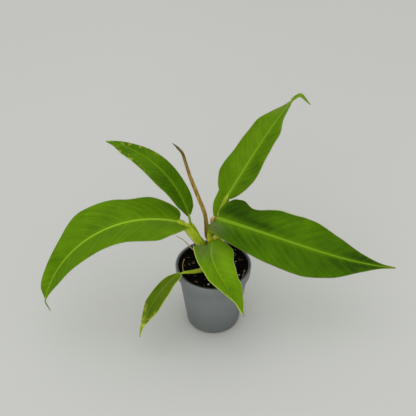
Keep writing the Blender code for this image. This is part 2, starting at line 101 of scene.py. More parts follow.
def paint(colour, share=1.0):
    """Linear RGBA from an 8-bit colour, made lighter or darker by a share."""
    linear = []
    for level in colour:
        level = level / 255
        level = level / 12.92 if level <= 0.04045 else ((level + 0.055) / 1.055) ** 2.4
        linear.append(share * level)
    return (*linear, 1)


def new_finish(name, roughness, gloss=0.5):
    """A material with a Principled shader. Returns the material, its node tree and the shader."""
    finish = bpy.data.materials.new(name)
    finish.use_nodes = True
    tree = finish.node_tree
    shader = tree.nodes["Principled BSDF"]
    shader.inputs["Roughness"].default_value = roughness
    shader.inputs["Specular IOR Level"].default_value = gloss
    return finish, tree, shader


def add_node(tree, kind, output=0, **wanted):
    """Adds a shader node. A wanted value is an input's name or number, or a setting."""
    made = tree.nodes.new("ShaderNode" + kind)
    for key, value in wanted.items():
        if key[0] == "i" and key[1:].isdigit():
            slot = made.inputs[int(key[1:])]
        else:
            slot = made.inputs.get(key.replace("_", " "))
        if slot is None:
            setattr(made, key, value)
        elif isinstance(value, bpy.types.NodeSocket):
            tree.links.new(value, slot)
        else:
            slot.default_value = value
    return made.outputs[output]


def calc(tree, operation, a, b=0.0):
    return add_node(tree, "Math", operation=operation, i0=a, i1=b)


def between(tree, value, low, high):
    """0 below low and 1 above high, with a soft step between; high may be the lower one."""
    return add_node(tree, "MapRange", interpolation_type="SMOOTHSTEP", i0=value, i1=low, i2=high)


def blended(tree, share, first, second):
    """The first colour where share is 0, and the second where it is 1."""
    mixed = tree.nodes.new("ShaderNodeMix")
    mixed.data_type = "RGBA"
    for slot, value in ((0, share), (6, first), (7, second)):
        if isinstance(value, bpy.types.NodeSocket):
            tree.links.new(value, mixed.inputs[slot])
        else:
            mixed.inputs[slot].default_value = value
    return mixed.outputs[2]


def tinted(tree, colour, mask, strength, tint):
    """The colour, with a tint of some strength laid over it where the mask is 1."""
    return blended(tree, calc(tree, "MULTIPLY", mask, strength), colour, tint)


def surface_noise(tree, scale, detail=3.0, stretch=(1, 1, 1), rough=0.55):
    """Noise on the piece's own coordinates, finer along an axis with a larger stretch."""
    place = add_node(tree, "TexCoord", output=3)
    placed = add_node(tree, "Mapping", Vector=place, Scale=stretch)
    return add_node(tree, "TexNoise", Vector=placed, Scale=scale, Detail=detail, Roughness=rough)


def raised(tree, shader, height, depth, strength=1.0, under=None):
    """Feeds a height into the shader's normal. depth is in metres."""
    bump = tree.nodes.new("ShaderNodeBump")
    bump.inputs["Strength"].default_value = strength
    bump.inputs["Distance"].default_value = depth
    tree.links.new(height, bump.inputs["Height"])
    if under is not None:
        tree.links.new(under, bump.inputs["Normal"])
    tree.links.new(bump.outputs[0], shader.inputs["Normal"])
    return bump.outputs[0]


def feed(tree, value, shader, name):
    tree.links.new(value, shader.inputs[name])


def placed_piece(name, bm, *finishes):
    """Makes a bmesh an object of the scene, smooth all over, with its finishes."""
    mesh = bpy.data.meshes.new(name)
    bm.to_mesh(mesh)
    bm.free()
    for finish in finishes:
        mesh.materials.append(finish)
    mesh.shade_smooth()
    made = bpy.data.objects.new(name, mesh)
    bpy.context.scene.collection.objects.link(made)
    return made


def belongs(piece, slot, *nodes):
    """The piece rides on the pot's body and stands for CAD nodes, which it hides. slot is not used."""
    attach(piece, "root")
    if nodes:
        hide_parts(*nodes)


def arc_points(centre, radius, start, end, count):
    points = []
    for k in range(count + 1):
        angle = math.radians(start + (end - start) * k / count)
        points.append((centre[0] + radius * math.cos(angle), centre[1] + radius * math.sin(angle)))
    return points


def turned(profile, segments):
    """A turned bmesh from (radius, height) points that start and end on the axis."""
    bm = bmesh.new()
    verts = [bm.verts.new((radius, 0, height)) for radius, height in profile]
    edges = [bm.edges.new(pair) for pair in zip(verts, verts[1:])]
    bmesh.ops.spin(
        bm, geom=verts + edges, cent=(0, 0, 0), axis=(0, 0, 1), angle=2 * math.pi,
        steps=segments, use_merge=True,
    )
    bmesh.ops.remove_doubles(bm, verts=bm.verts, dist=SAME_POINT)
    bmesh.ops.recalc_face_normals(bm, faces=bm.faces)
    return bm


def wall_radius(z):
    """Outer radius of the pot's wall, which runs straight from its base to its rim."""
    top = RIM_RADIUS - RIM_WIDTH + POT_WALL
    return BASE_RADIUS + (top - BASE_RADIUS) * z / POT_HEIGHT


def pot_finish():
    finish, tree, shader = new_finish("moulded pot plastic", 0.5, 0.9)
    place = add_node(tree, "TexCoord", output=3)
    height = add_node(tree, "SeparateXYZ", output=2, Vector=place)
    flat = add_node(tree, "VectorMath", operation="MULTIPLY", i0=place, i1=(1, 1, 0))
    radius = add_node(tree, "VectorMath", output=1, operation="LENGTH", i0=flat)
    cloud = surface_noise(tree, 22, 4)
    flow = surface_noise(tree, 60, 3, stretch=(1, 1, 0.12))
    colour = blended(tree, between(tree, cloud, 0.3, 0.7), paint(POT_GREY), paint(POT_GREY_DEEP))
    colour = tinted(tree, colour, between(tree, flow, 0.56, 0.8), 0.5, paint(POT_GREY_WORN))
    # painted shade: the wall darkens towards its foot
    low = between(tree, height, 0.75 * POT_HEIGHT, 0.0)
    colour = tinted(tree, colour, low, 0.85, paint(POT_GREY_LOW_PAINTED_SHADE))
    near_rim = between(tree, height, POT_HEIGHT - RIM_DUST, POT_HEIGHT)
    near_foot = between(tree, height, FOOT_WEAR[1], FOOT_WEAR[0])
    scuffs = surface_noise(tree, 260, 5, rough=0.7)
    dusty = calc(tree, "MULTIPLY", between(tree, scuffs, 0.5, 0.68), near_rim)
    colour = tinted(tree, colour, dusty, 0.5, paint(POT_DUST))
    worn = calc(tree, "MULTIPLY", between(tree, scuffs, 0.5, 0.75), near_foot)
    colour = tinted(tree, colour, worn, 0.6, paint(POT_GREY_WORN))
    # painted shade: near black inside the wall and over the rim's inner edge
    inside = between(tree, radius, wall_top + INSIDE_SHADE_EDGE[1], wall_top + INSIDE_SHADE_EDGE[0])
    above = between(tree, height, skirt_foot, skirt_foot + INSIDE_SHADE_FADE)
    colour = blended(tree, calc(tree, "MULTIPLY", inside, above), colour, paint(POT_INSIDE_PAINTED_SHADE))
    feed(tree, colour, shader, "Base Color")
    satin = add_node(tree, "MapRange", i0=cloud, i1=0.3, i2=0.7, i3=0.44, i4=0.58)
    feed(tree, satin, shader, "Roughness")
    grain = add_node(tree, "TexNoise", Vector=place, Scale=1400, Detail=2)
    fine = raised(tree, shader, grain, 0.06 * MM, 0.5)
    raised(tree, shader, flow, 0.12 * MM, 0.4, under=fine)
    return finish


under_rim = POT_HEIGHT - POT_WALL
skirt_foot = POT_HEIGHT - RIM_DEPTH
skirt_radius = RIM_RADIUS - SKIRT_DRAFT
wall_top = RIM_RADIUS - RIM_WIDTH
corner = (wall_radius(BASE_ROUNDING) - BASE_ROUNDING, BASE_ROUNDING)
foot_ring = corner[0] - FOOT_RING_WIDTH
profile = [(0, FOOT_RISE), (DRAIN_CIRCLE / 2, FOOT_RISE), (foot_ring - FOOT_SLOPE, FOOT_RISE)]
profile += [(foot_ring - FOOT_RING_WIDTH, FOOT_RING_RISE), (foot_ring, 0)]
profile += arc_points(corner, BASE_ROUNDING, -90, WALL_ANGLE, 12)
for k in range(1, WALL_STEPS + 1):
    height = BASE_ROUNDING + (skirt_foot - BASE_ROUNDING) * k / WALL_STEPS
    profile.append((wall_radius(height), height))
fillet_start = under_rim - SKIRT_FILLET_START
profile += [(wall_radius(fillet_start), fillet_start)]
profile += [(wall_radius(under_rim) + SKIRT_FILLET, under_rim)]
profile += [(RIM_RADIUS - SKIRT_WALL - SKIRT_FILLET, under_rim)]
profile += [(RIM_RADIUS - SKIRT_WALL, under_rim - SKIRT_FILLET)]
skirt_lip = (skirt_radius - SKIRT_WALL / 2, skirt_foot + SKIRT_WALL / 2)
profile += arc_points(skirt_lip, SKIRT_WALL / 2, -180, 0, 6)
rim_corner = (RIM_RADIUS - RIM_ROUNDING, POT_HEIGHT - RIM_ROUNDING)
profile += arc_points(rim_corner, RIM_ROUNDING, 0, 90, 6)
inner_rim = (wall_top + INNER_ROUNDING, POT_HEIGHT - INNER_ROUNDING)
profile += arc_points(inner_rim, INNER_ROUNDING, 90, 180, 5)
for k in range(WALL_STEPS - 1, 0, -1):
    height = BASE_ROUNDING + (POT_HEIGHT - BASE_ROUNDING) * k / WALL_STEPS
    profile.append((wall_radius(height) - POT_WALL, height))
profile += reversed(arc_points(corner, BASE_ROUNDING - POT_WALL, -90, WALL_ANGLE, 8))
profile += [(foot_ring, POT_WALL + FLOOR_DOMING / 2), (DRAIN_CIRCLE / 2, POT_WALL + FLOOR_DOMING)]
profile += [(0, POT_WALL + FLOOR_DOMING)]

pot_plastic = pot_finish()
pot = placed_piece("nursery_pot_shell", turned(profile, POT_SEGMENTS), pot_plastic)
bm = bmesh.new()
for k in range(DRAIN_HOLES):
    angle = 2 * math.pi * (k + 0.5) / DRAIN_HOLES
    place = Matrix.Translation((DRAIN_CIRCLE * math.cos(angle), DRAIN_CIRCLE * math.sin(angle), 0))
    bmesh.ops.create_cone(
        bm, cap_ends=True, segments=DRAIN_SEGMENTS, radius1=DRAIN_RADIUS, radius2=DRAIN_RADIUS,
        depth=DRILL_LENGTH, matrix=place,
    )
drills = placed_piece("drain_drills", bm, pot_plastic)
cut = pot.modifiers.new("drain holes", "BOOLEAN")
cut.operation = "DIFFERENCE"
cut.object = drills
bpy.context.view_layer.update()
drilled = pot.evaluated_get(bpy.context.evaluated_depsgraph_get())
cut_mesh = bpy.data.meshes.new_from_object(drilled)
pot.modifiers.clear()
pot.data = cut_mesh
pot.data.shade_smooth()
pot.data.set_sharp_from_angle(angle=SHARP_EDGE)
bpy.data.objects.remove(drills)
belongs(pot, "pot", "nursery_pot")

# ---------------------------------------------------------------------------------------------
# Potting mix: dark peat and bark fines with coir fibre and a little perlite, pressed into the
# pot by hand and watered in, so its top is uneven and its grains stand loose on the surface.
# ---------------------------------------------------------------------------------------------

SOIL_GAP = 0.3 * MM
SOIL_TOP = POT_HEIGHT - 8 * MM
SOIL_SEGMENTS = 120
SOIL_RINGS = 40
SOIL_SWELLS = ((11, 1.1), (4.3, 0.8), (1.9, 0.5))  # spacing and height, in millimetres
CRUMB_COUNT = 620
FIBRE_COUNT = 46
SOIL_BANK_WIDTH = 5.5 * MM  # the mix is banked up against the wall
SOIL_BANK = 6 * MM
SOIL_BANK_CURVE = 1.6
SOIL_BELOW_RIM = 1 * MM
SOIL_EDGE_SHARE = 0.03  # the outermost share of the radius, which follows the wall
SOIL_DARK = (7, 6, 5)
SOIL_BROWN = (13, 11, 8)
SOIL_BARK = (38, 29, 18)
SOIL_TAN = (98, 80, 50)
SOIL_WHITE = (205, 200, 184)
BARK_KIND = (0.70, 0.72)  # grains of a kind above these are bark, then tan, then white
TAN_KIND = (0.90, 0.92)
WHITE_KIND = (0.965, 0.97)
FINE_KIND = 0.5  # grains of a kind below this are rough fines
CRUMB_SIZES = (0.7, 2.0)  # millimetres
CRUMB_SHAPE = ((0.6, 1.5), (0.5, 1.0), (0.3, 0.7))  # smallest and largest, along each axis
BIG_CRUMB = 1.5
CRUMB_TILT = 0.4  # radians
CRUMB_LUMPS = 0.45
CRUMB_LUMP_SPACING = 1.7
dice = random.Random(41)


def soil_radius(z):
    return wall_radius(z) - POT_WALL - SOIL_GAP


def soil_height(x, y):
    height = SOIL_TOP
    for spacing, swell in SOIL_SWELLS:
        height += swell * MM * noise.noise(Vector((x, y, 0)) / (spacing * MM))
    climb = min(max(1 - (soil_radius(SOIL_TOP) - math.hypot(x, y)) / SOIL_BANK_WIDTH, 0), 1)
    return height + SOIL_BANK * climb ** SOIL_BANK_CURVE


def soil_finish(name, kinds):
    """Matte crumbly mix. With kinds, a grain's colour comes from its kind, from 0 to 1."""
    finish, tree, shader = new_finish(name, 0.95, 0.05)
    patches = surface_noise(tree, 420, 4)
    colour = blended(tree, between(tree, patches, 0.42, 0.68), paint(SOIL_DARK), paint(SOIL_BROWN))
    if kinds:
        kind = add_node(tree, "Attribute", output=2, attribute_name="kind")
        colour = blended(tree, between(tree, kind, *BARK_KIND), colour, paint(SOIL_BARK))
        colour = blended(tree, between(tree, kind, *TAN_KIND), colour, paint(SOIL_TAN))
        colour = blended(tree, between(tree, kind, *WHITE_KIND), colour, paint(SOIL_WHITE))
        speckle = surface_noise(tree, 1500, 2)
        colour = tinted(tree, colour, between(tree, speckle, 0.62, 0.4), 0.35, paint(SOIL_DARK))
    feed(tree, colour, shader, "Base Color")
    grain = surface_noise(tree, 900, 5, rough=0.7)
    raised(tree, shader, grain, 0.8 * MM, 0.8)
    return finish


soil_floor = POT_WALL + SOIL_GAP
soil_rounding = BASE_ROUNDING - POT_WALL - SOIL_GAP
profile = [(0, soil_floor + FLOOR_DOMING), (foot_ring, soil_floor + FLOOR_DOMING / 2)]
inner_corner = (soil_radius(BASE_ROUNDING) - soil_rounding, BASE_ROUNDING)
profile += arc_points(inner_corner, soil_rounding, -80, WALL_ANGLE, 5)
profile += [(soil_radius(SOIL_TOP / 2), SOIL_TOP / 2)]
top_radius = soil_radius(SOIL_TOP)
profile += [(top_radius * k / SOIL_RINGS, SOIL_TOP) for k in range(SOIL_RINGS, -1, -1)]
bm = turned(profile, SOIL_SEGMENTS)
for vert in bm.verts:
    if vert.co.z > SOIL_TOP - SAME_POINT:
        vert.co.z = min(soil_height(vert.co.x, vert.co.y), POT_HEIGHT - SOIL_BELOW_RIM)
        climb = max(vert.co.xy.length / top_radius - (1 - SOIL_EDGE_SHARE), 0) / SOIL_EDGE_SHARE
        spread = 1 + climb * (soil_radius(vert.co.z) / top_radius - 1)
        vert.co.x *= spread
        vert.co.y *= spread
soil = placed_piece("potting_mix", bm, soil_finish("damp potting mix", False))
belongs(soil, "soil", "potting_soil")

bm = bmesh.new()
kind_layer = bm.verts.layers.float.new("kind")
for k in range(CRUMB_COUNT):
    kind = dice.random()
    size = dice.uniform(*CRUMB_SIZES) * MM
    if FINE_KIND < kind < TAN_KIND[1] and k % 3 == 0:
        size *= BIG_CRUMB
    distance = (top_radius - 1.2 * size) * math.sqrt(dice.random())
    bearing = dice.uniform(0, 2 * math.pi)
    x, y = distance * math.cos(bearing), distance * math.sin(bearing)
    rounds = 1 if kind < FINE_KIND else 2
    made = bmesh.ops.create_icosphere(bm, subdivisions=rounds, radius=1)["verts"]
    shape = Vector([dice.uniform(least, most) for least, most in CRUMB_SHAPE]) * size
    turn = Matrix.Rotation(dice.uniform(0, math.pi), 3, "Z")
    turn = turn @ Matrix.Rotation(dice.gauss(0, CRUMB_TILT), 3, "X")
    for vert in made:
        lump = 1 + CRUMB_LUMPS * noise.noise(vert.co * CRUMB_LUMP_SPACING + Vector((k, 0, 0)))
        vert.co = turn @ Vector(a * b * lump for a, b in zip(vert.co, shape))
        vert.co += Vector((x, y, soil_height(x, y) + 0.25 * shape.z))
        vert[kind_layer] = kind
crumbs = placed_piece("mix_grains", bm, soil_finish("loose grains", True))
belongs(crumbs, "soil")

# ---------------------------------------------------------------------------------------------
# Stem and roots: one short green stem with a swollen joint and a leaf scar under each leaf. The
# roots grow from it: thick ones down through the mix, thinner tan ones over it and in the air.
# ---------------------------------------------------------------------------------------------

GAP = 0.3 * MM
STEM_RADIUS = 5 * MM
STEM_HEIGHT = 56 * MM
STEM_DEPTH = 30 * MM
STEM_FOOT = (-2 * MM, 6 * MM)
STEM_LEAN = (-4 * MM, -1 * MM)
NODE_SWELLING = 0.25 * MM
NODE_SPACING = 14 * MM
STEM_TAPER = 0.15
STEM_ROWS = 120
STEM_AROUND = 36
SCAR_DEPTH = 0.35 * MM
SCAR_WIDTH = 0.7 * MM
CROWN_START = 0.985  # share of the stem at which its top starts to close
CROWN_LENGTH = 0.016
CROWN_LEAST = 0.05
STEM_GREEN = (138, 152, 18)
STEM_DARK = (92, 98, 16)
STEM_BROWN = (92, 62, 26)
ROOT_TAN = (176, 164, 100)
ROOT_BROWN = (140, 122, 66)
ROOT_PALE = (206, 196, 138)


def smooth_value(stations, values, t):
    """A curve through the values that never overshoots them."""
    slopes = [(b - a) / (q - p) for a, b, p, q in zip(values, values[1:], stations, stations[1:])]
    tangents = [slopes[0]]
    for before, after in zip(slopes, slopes[1:]):
        turning = before * after <= 0
        tangents.append(0 if turning else 2 * before * after / (before + after))
    tangents.append(slopes[-1])
    i = max(k for k in range(len(slopes)) if stations[k] <= t or k == 0)
    span = stations[i + 1] - stations[i]
    u = (t - stations[i]) / span
    return (
        (1 + 2 * u) * (1 - u) ** 2 * values[i]
        + u * (1 - u) ** 2 * span * tangents[i]
        + u * u * (3 - 2 * u) * values[i + 1]
        + u * u * (u - 1) * span * tangents[i + 1]
    )


def smooth_route(points, steps):
    """Points along a smooth curve through the given ones."""
    points = [Vector(p) for p in points]
    ends = [2 * points[0] - points[1], *points, 2 * points[-1] - points[-2]]
    route = []
    for a, b, c, d in zip(ends, ends[1:], ends[2:], ends[3:]):
        for k in range(steps):
            u = k / steps
            route.append(
                0.5 * (2 * b + (c - a) * u + (2 * a - 5 * b + 4 * c - d) * u * u
                       + (3 * b - a - 3 * c + d) * u ** 3)
            )
    return [*route, points[-1]]


def bezier_point(start, leave, arrive, end, u):
    return (
        start * (1 - u) ** 3 + leave * 3 * u * (1 - u) ** 2 + arrive * 3 * u * u * (1 - u)
        + end * u ** 3
    )


def carried_frames(route, last_up):
    """(ahead, up, side) at each point of a route. up is carried back from the last point."""
    aheads = []
    for k in range(len(route)):
        aheads.append((route[min(k + 1, len(route) - 1)] - route[max(k - 1, 0)]).normalized())
    up = last_up
    frames = []
    for ahead in reversed(aheads):
        up = (up - ahead * up.dot(ahead)).normalized()
        frames.append((ahead, up, ahead.cross(up)))
    return frames[::-1]


def grown_tube(route, last_up, around, reach):
    """A closed bmesh tube along a route. reach(share, angle) is its radius; angle 0 is up."""
    rows = len(route) - 1
    frames = carried_frames(route, last_up)
    bm = bmesh.new()
    bmesh.ops.create_grid(bm, x_segments=around, y_segments=rows, size=1)
    share_layer = bm.verts.layers.float.new("share")
    turn_layer = bm.verts.layers.float.new("turn")
    for vert in bm.verts:
        row = round((vert.co.y + 1) / 2 * rows)
        angle = math.pi * (vert.co.x + 1)
        ahead, up, side = frames[row]
        vert[share_layer] = row / rows
        vert[turn_layer] = math.cos(angle)
        out = up * math.cos(angle) + side * math.sin(angle)
        vert.co = route[row] + out * reach(row / rows, angle)
    bmesh.ops.remove_doubles(bm, verts=bm.verts, dist=SAME_POINT)
    bmesh.ops.holes_fill(bm, edges=bm.edges, sides=0)
    caps = [face for face in bm.faces if len(face.verts) > 4]
    bmesh.ops.poke(bm, faces=caps)
    bmesh.ops.recalc_face_normals(bm, faces=bm.faces)
    return bm


def stem_point(height):
    share = height / STEM_HEIGHT
    return Vector((
        STEM_FOOT[0] + STEM_LEAN[0] * share, STEM_FOOT[1] + STEM_LEAN[1] * share, SOIL_TOP + height
    ))


def stem_reach(height):
    return STEM_RADIUS * (1 - STEM_TAPER * height / STEM_HEIGHT) + NODE_SWELLING


def attribute(tree, name):
    return add_node(tree, "Attribute", output=2, attribute_name=name)


def stem_finish():
    finish, tree, shader = new_finish("stem skin", 0.5, 0.12)
    streaks = surface_noise(tree, 240, 4, stretch=(1, 1, 0.2))
    marks = surface_noise(tree, 130, 5)
    colour = blended(tree, between(tree, streaks, 0.35, 0.7), paint(STEM_DARK), paint(STEM_GREEN))
    colour = tinted(tree, colour, between(tree, marks, 0.55, 0.72), 0.8, paint(STEM_BROWN))
    # painted shade, not damp: the stem darkens towards the mix, under the stalks and leaves
    damp = between(tree, attribute(tree, "share"), 0.72, 0.45)
    colour = tinted(tree, colour, damp, 0.8, paint(STEM_DARK, 0.35))
    feed(tree, colour, shader, "Base Color")
    raised(tree, shader, streaks, 0.4 * MM, 0.6)
    return finish


def root_finish():
    finish, tree, shader = new_finish("corky root skin", 0.8, 0.2)
    cork = surface_noise(tree, 500, 5, rough=0.65)
    patches = surface_noise(tree, 90, 2)
    colour = blended(tree, between(tree, cork, 0.35, 0.65), paint(ROOT_BROWN), paint(ROOT_TAN))
    colour = tinted(tree, colour, between(tree, patches, 0.5, 0.7), 0.6, paint(ROOT_PALE))
    feed(tree, colour, shader, "Base Color")
    raised(tree, shader, cork, 0.3 * MM, 0.8)
    return finish


def stem_radius(share, angle):
    """Rings at the joints, with a narrow leaf scar on each."""
    height = -STEM_DEPTH + (STEM_HEIGHT + STEM_DEPTH) * share
    ring = NODE_SWELLING * (1 - math.cos(2 * math.pi * height / NODE_SPACING))
    offset = (height / NODE_SPACING + 0.5) % 1 - 0.5
    scar = SCAR_DEPTH * math.exp(-(offset * NODE_SPACING / SCAR_WIDTH) ** 2)
    past = max(share - CROWN_START, 0) / CROWN_LENGTH
    closing = math.sqrt(max(1 - past ** 2, CROWN_LEAST))
    return (stem_reach(height) - ring - scar * (0.6 + 0.4 * math.cos(angle))) * closing


stem_length = STEM_HEIGHT + STEM_DEPTH
heights = [-STEM_DEPTH + stem_length * k / STEM_ROWS for k in range(STEM_ROWS + 1)]
route = [stem_point(height) for height in heights]
stem_skin = stem_finish()
bm = grown_tube(route, Vector((0, -1, 0)), STEM_AROUND, stem_radius)
belongs(placed_piece("stem_skin", bm, stem_skin), "stem", "stem")

root_skin = root_finish()
for k in range(1, 7):
    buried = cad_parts[f"root_{k}"]
    for material_slot in buried.material_slots:
        material_slot.material = root_skin

ROOT_ROUGHNESS = 0.10
ROOT_WRINKLES = 30  # from end to end
ROOT_TIP = 0.04  # the share of its length over which a root closes
ROOT_STEPS = 48
AERIAL_ROOT_RADIUS = 1.3 * MM
AERIAL_ROOT_TAPER = (0.75, 0.4)
AERIAL_ROOT_START = 0.5 * MM  # it starts this far inside the stem's skin
AERIAL_ROOT_JOINT = 13 * MM
AERIAL_ROOT_BEARING = math.radians(140)
# Share of the rim's radius, bearing in radians, millimetres above the rim
AERIAL_ROOT_ROUTE = ((0.66, 2.48, 8), (0.96, 2.50, 18.5), (1.2, 2.55, 24.5))
SURFACE_ROOT_RADIUS = 1.1 * MM
SURFACE_ROOT_TAPER = (0.75, 0.45)
SURFACE_ROOT_INSET = 4.5 * MM
# Name, first and last bearing in degrees, and how far it drifts in from the wall
SURFACE_ROOTS = (("left", 158, 200, 2 * MM), ("right", 352, 333, -1 * MM))
FIBRE_INSET = 5 * MM
FIBRE_CLEARANCE = 1 * MM
FIBRE_LENGTHS = (3, 9)  # millimetres
FIBRE_THICKNESS = (0.15, 0.35)  # millimetres
FIBRE_BEND = 1.2  # radians
FIBRE_ARCH = 0.3 * MM
FIBRE_STEPS = 8


def root_radius(radius, taper):
    """A root's uneven radius, ringed with fine wrinkles and closed to a point."""
    thick, thin = (share * radius for share in taper)

    def reach(share, angle):
        place = Vector((share * ROOT_WRINKLES, math.cos(angle), math.sin(angle)))
        wrinkle = 1 + ROOT_ROUGHNESS * noise.noise(place)
        tip = math.sqrt(max(1 - max(share - (1 - ROOT_TIP), 0) / ROOT_TIP, ROOT_TIP))
        return (thick + (thin - thick) * share) * wrinkle * tip

    return reach


out = Vector((math.cos(AERIAL_ROOT_BEARING), math.sin(AERIAL_ROOT_BEARING), 0))
start = stem_reach(AERIAL_ROOT_JOINT) - AERIAL_ROOT_START
points = [stem_point(AERIAL_ROOT_JOINT) + out * start]
for share, bearing, above_rim in AERIAL_ROOT_ROUTE:
    reach = share * RIM_RADIUS
    points.append(Vector((
        reach * math.cos(bearing), reach * math.sin(bearing), POT_HEIGHT + above_rim * MM
    )))
route = smooth_route(points, 16)
bm = grown_tube(route, Vector((0, 0, 1)), 12, root_radius(AERIAL_ROOT_RADIUS, AERIAL_ROOT_TAPER))
belongs(placed_piece("aerial_root_skin", bm, root_skin), "root", "aerial_root")

for side, first, last, drift in SURFACE_ROOTS:
    route = []
    for k in range(ROOT_STEPS + 1):
        bearing = math.radians(first + (last - first) * k / ROOT_STEPS)
        radius = top_radius - SURFACE_ROOT_INSET - drift * k / ROOT_STEPS
        x, y = radius * math.cos(bearing), radius * math.sin(bearing)
        route.append(Vector((x, y, soil_height(x, y) + SURFACE_ROOT_RADIUS)))
    reach = root_radius(SURFACE_ROOT_RADIUS, SURFACE_ROOT_TAPER)
    bm = grown_tube(route, Vector((0, 0, 1)), 10, reach)
    surface_root = placed_piece(f"surface_root_{side}_skin", bm, root_skin)
    belongs(surface_root, "root", f"surface_root_{side}")

bm = bmesh.new()
for k in range(FIBRE_COUNT):
    distance = (top_radius - FIBRE_INSET) * math.sqrt(dice.random())
    bearing = dice.uniform(0, 2 * math.pi)
    heading = dice.uniform(0, 2 * math.pi)
    place = Vector((distance * math.cos(bearing), distance * math.sin(bearing), 0))
    length = dice.uniform(*FIBRE_LENGTHS) * MM
    bend = dice.uniform(-FIBRE_BEND, FIBRE_BEND)
    thick = dice.uniform(*FIBRE_THICKNESS) * MM
    strand = []
    for step in range(FIBRE_STEPS + 1):
        share = step / FIBRE_STEPS
        turn = heading + bend * share
        place = place + Vector((math.cos(turn), math.sin(turn), 0)) * length / FIBRE_STEPS
        inside = min(1, (top_radius - FIBRE_CLEARANCE) / max(place.length, SAME_POINT))
        x, y = place.x * inside, place.y * inside
        arch = FIBRE_ARCH * math.sin(share * math.pi)
        strand.append(Vector((x, y, soil_height(x, y) + thick + arch)))
    one = grown_tube(strand, Vector((0, 0, 1)), 6, lambda share, angle: thick * (1.1 - 0.6 * share))
    mesh = bpy.data.meshes.new("strand")
    one.to_mesh(mesh)
    one.free()
    bm.from_mesh(mesh)
    bpy.data.meshes.remove(mesh)
fibres = placed_piece("coir_fibres", bm, root_skin)
belongs(fibres, "soil")

# ---------------------------------------------------------------------------------------------
# Blades: seven arrow-shaped leaves, each one leathery sheet with a thick pale midrib, side veins
# that sweep towards the tip, a thin pale margin and a duller, paler underside. Each grows on the
# end of its own stalk. They differ in age, light and posture, so each has its own entry.
# ---------------------------------------------------------------------------------------------

STATIONS = (0, 0.07, 0.17, 0.33, 0.5, 0.67, 0.83, 0.94, 1)  # shares of a blade's length
LOBE_REACH = 0.3
HEEL_REACH = 0.12
TAIL_BEND = 0.22
TAIL_TURN = 0.3
CURL_BEND = 1.1  # radians
SINUS_MARGIN = 1.4 * MM
TIP_HALF_WIDTH = 0.9 * MM
BLADE_THICKNESS = 0.8 * MM
RIB_THICKNESS = 2.4 * MM
BLADE_ROW = 1.5 * MM  # rows of faces along a blade
BLADE_COLUMNS = 56
COLUMN_CROWDING = 1.4  # the columns of faces crowd towards the rib
CORNER_ROUNDING = 0.30  # of a lobe, as a share of the width
LOBE_POWER = 1.6
TAIL_WIDTHS = (0.12, 0.88)  # how far round a half wave the tail's outline starts and runs
TAIL_LEAST = 0.4 * MM
RIB_VALLEY = 1.2 * MM  # rounding of the fold along the rib
CRUMPLE = 0.9 * MM
VEIN_SWEEP = (0.8, 0.5)  # how far a side vein leans forward at once, and then further out
QUILTING = 0.006  # as a share of the gap between veins
RIB_TAPER = (0.80, 0.8)  # how much of its width the rib loses, and how soon
RIB_IN_TAIL = 0.95
WIDEST_EDGE = 30  # distances from the margin are not followed past this, in millimetres
FRONT_LEFT_BEARING = math.radians(215)
FRONT_LEFT_REACH = RIM_RADIUS / MM + 1
FRONT_LEFT_FOOT = (
    FRONT_LEFT_REACH * math.cos(FRONT_LEFT_BEARING), FRONT_LEFT_REACH * math.sin(FRONT_LEFT_BEARING), 19
)
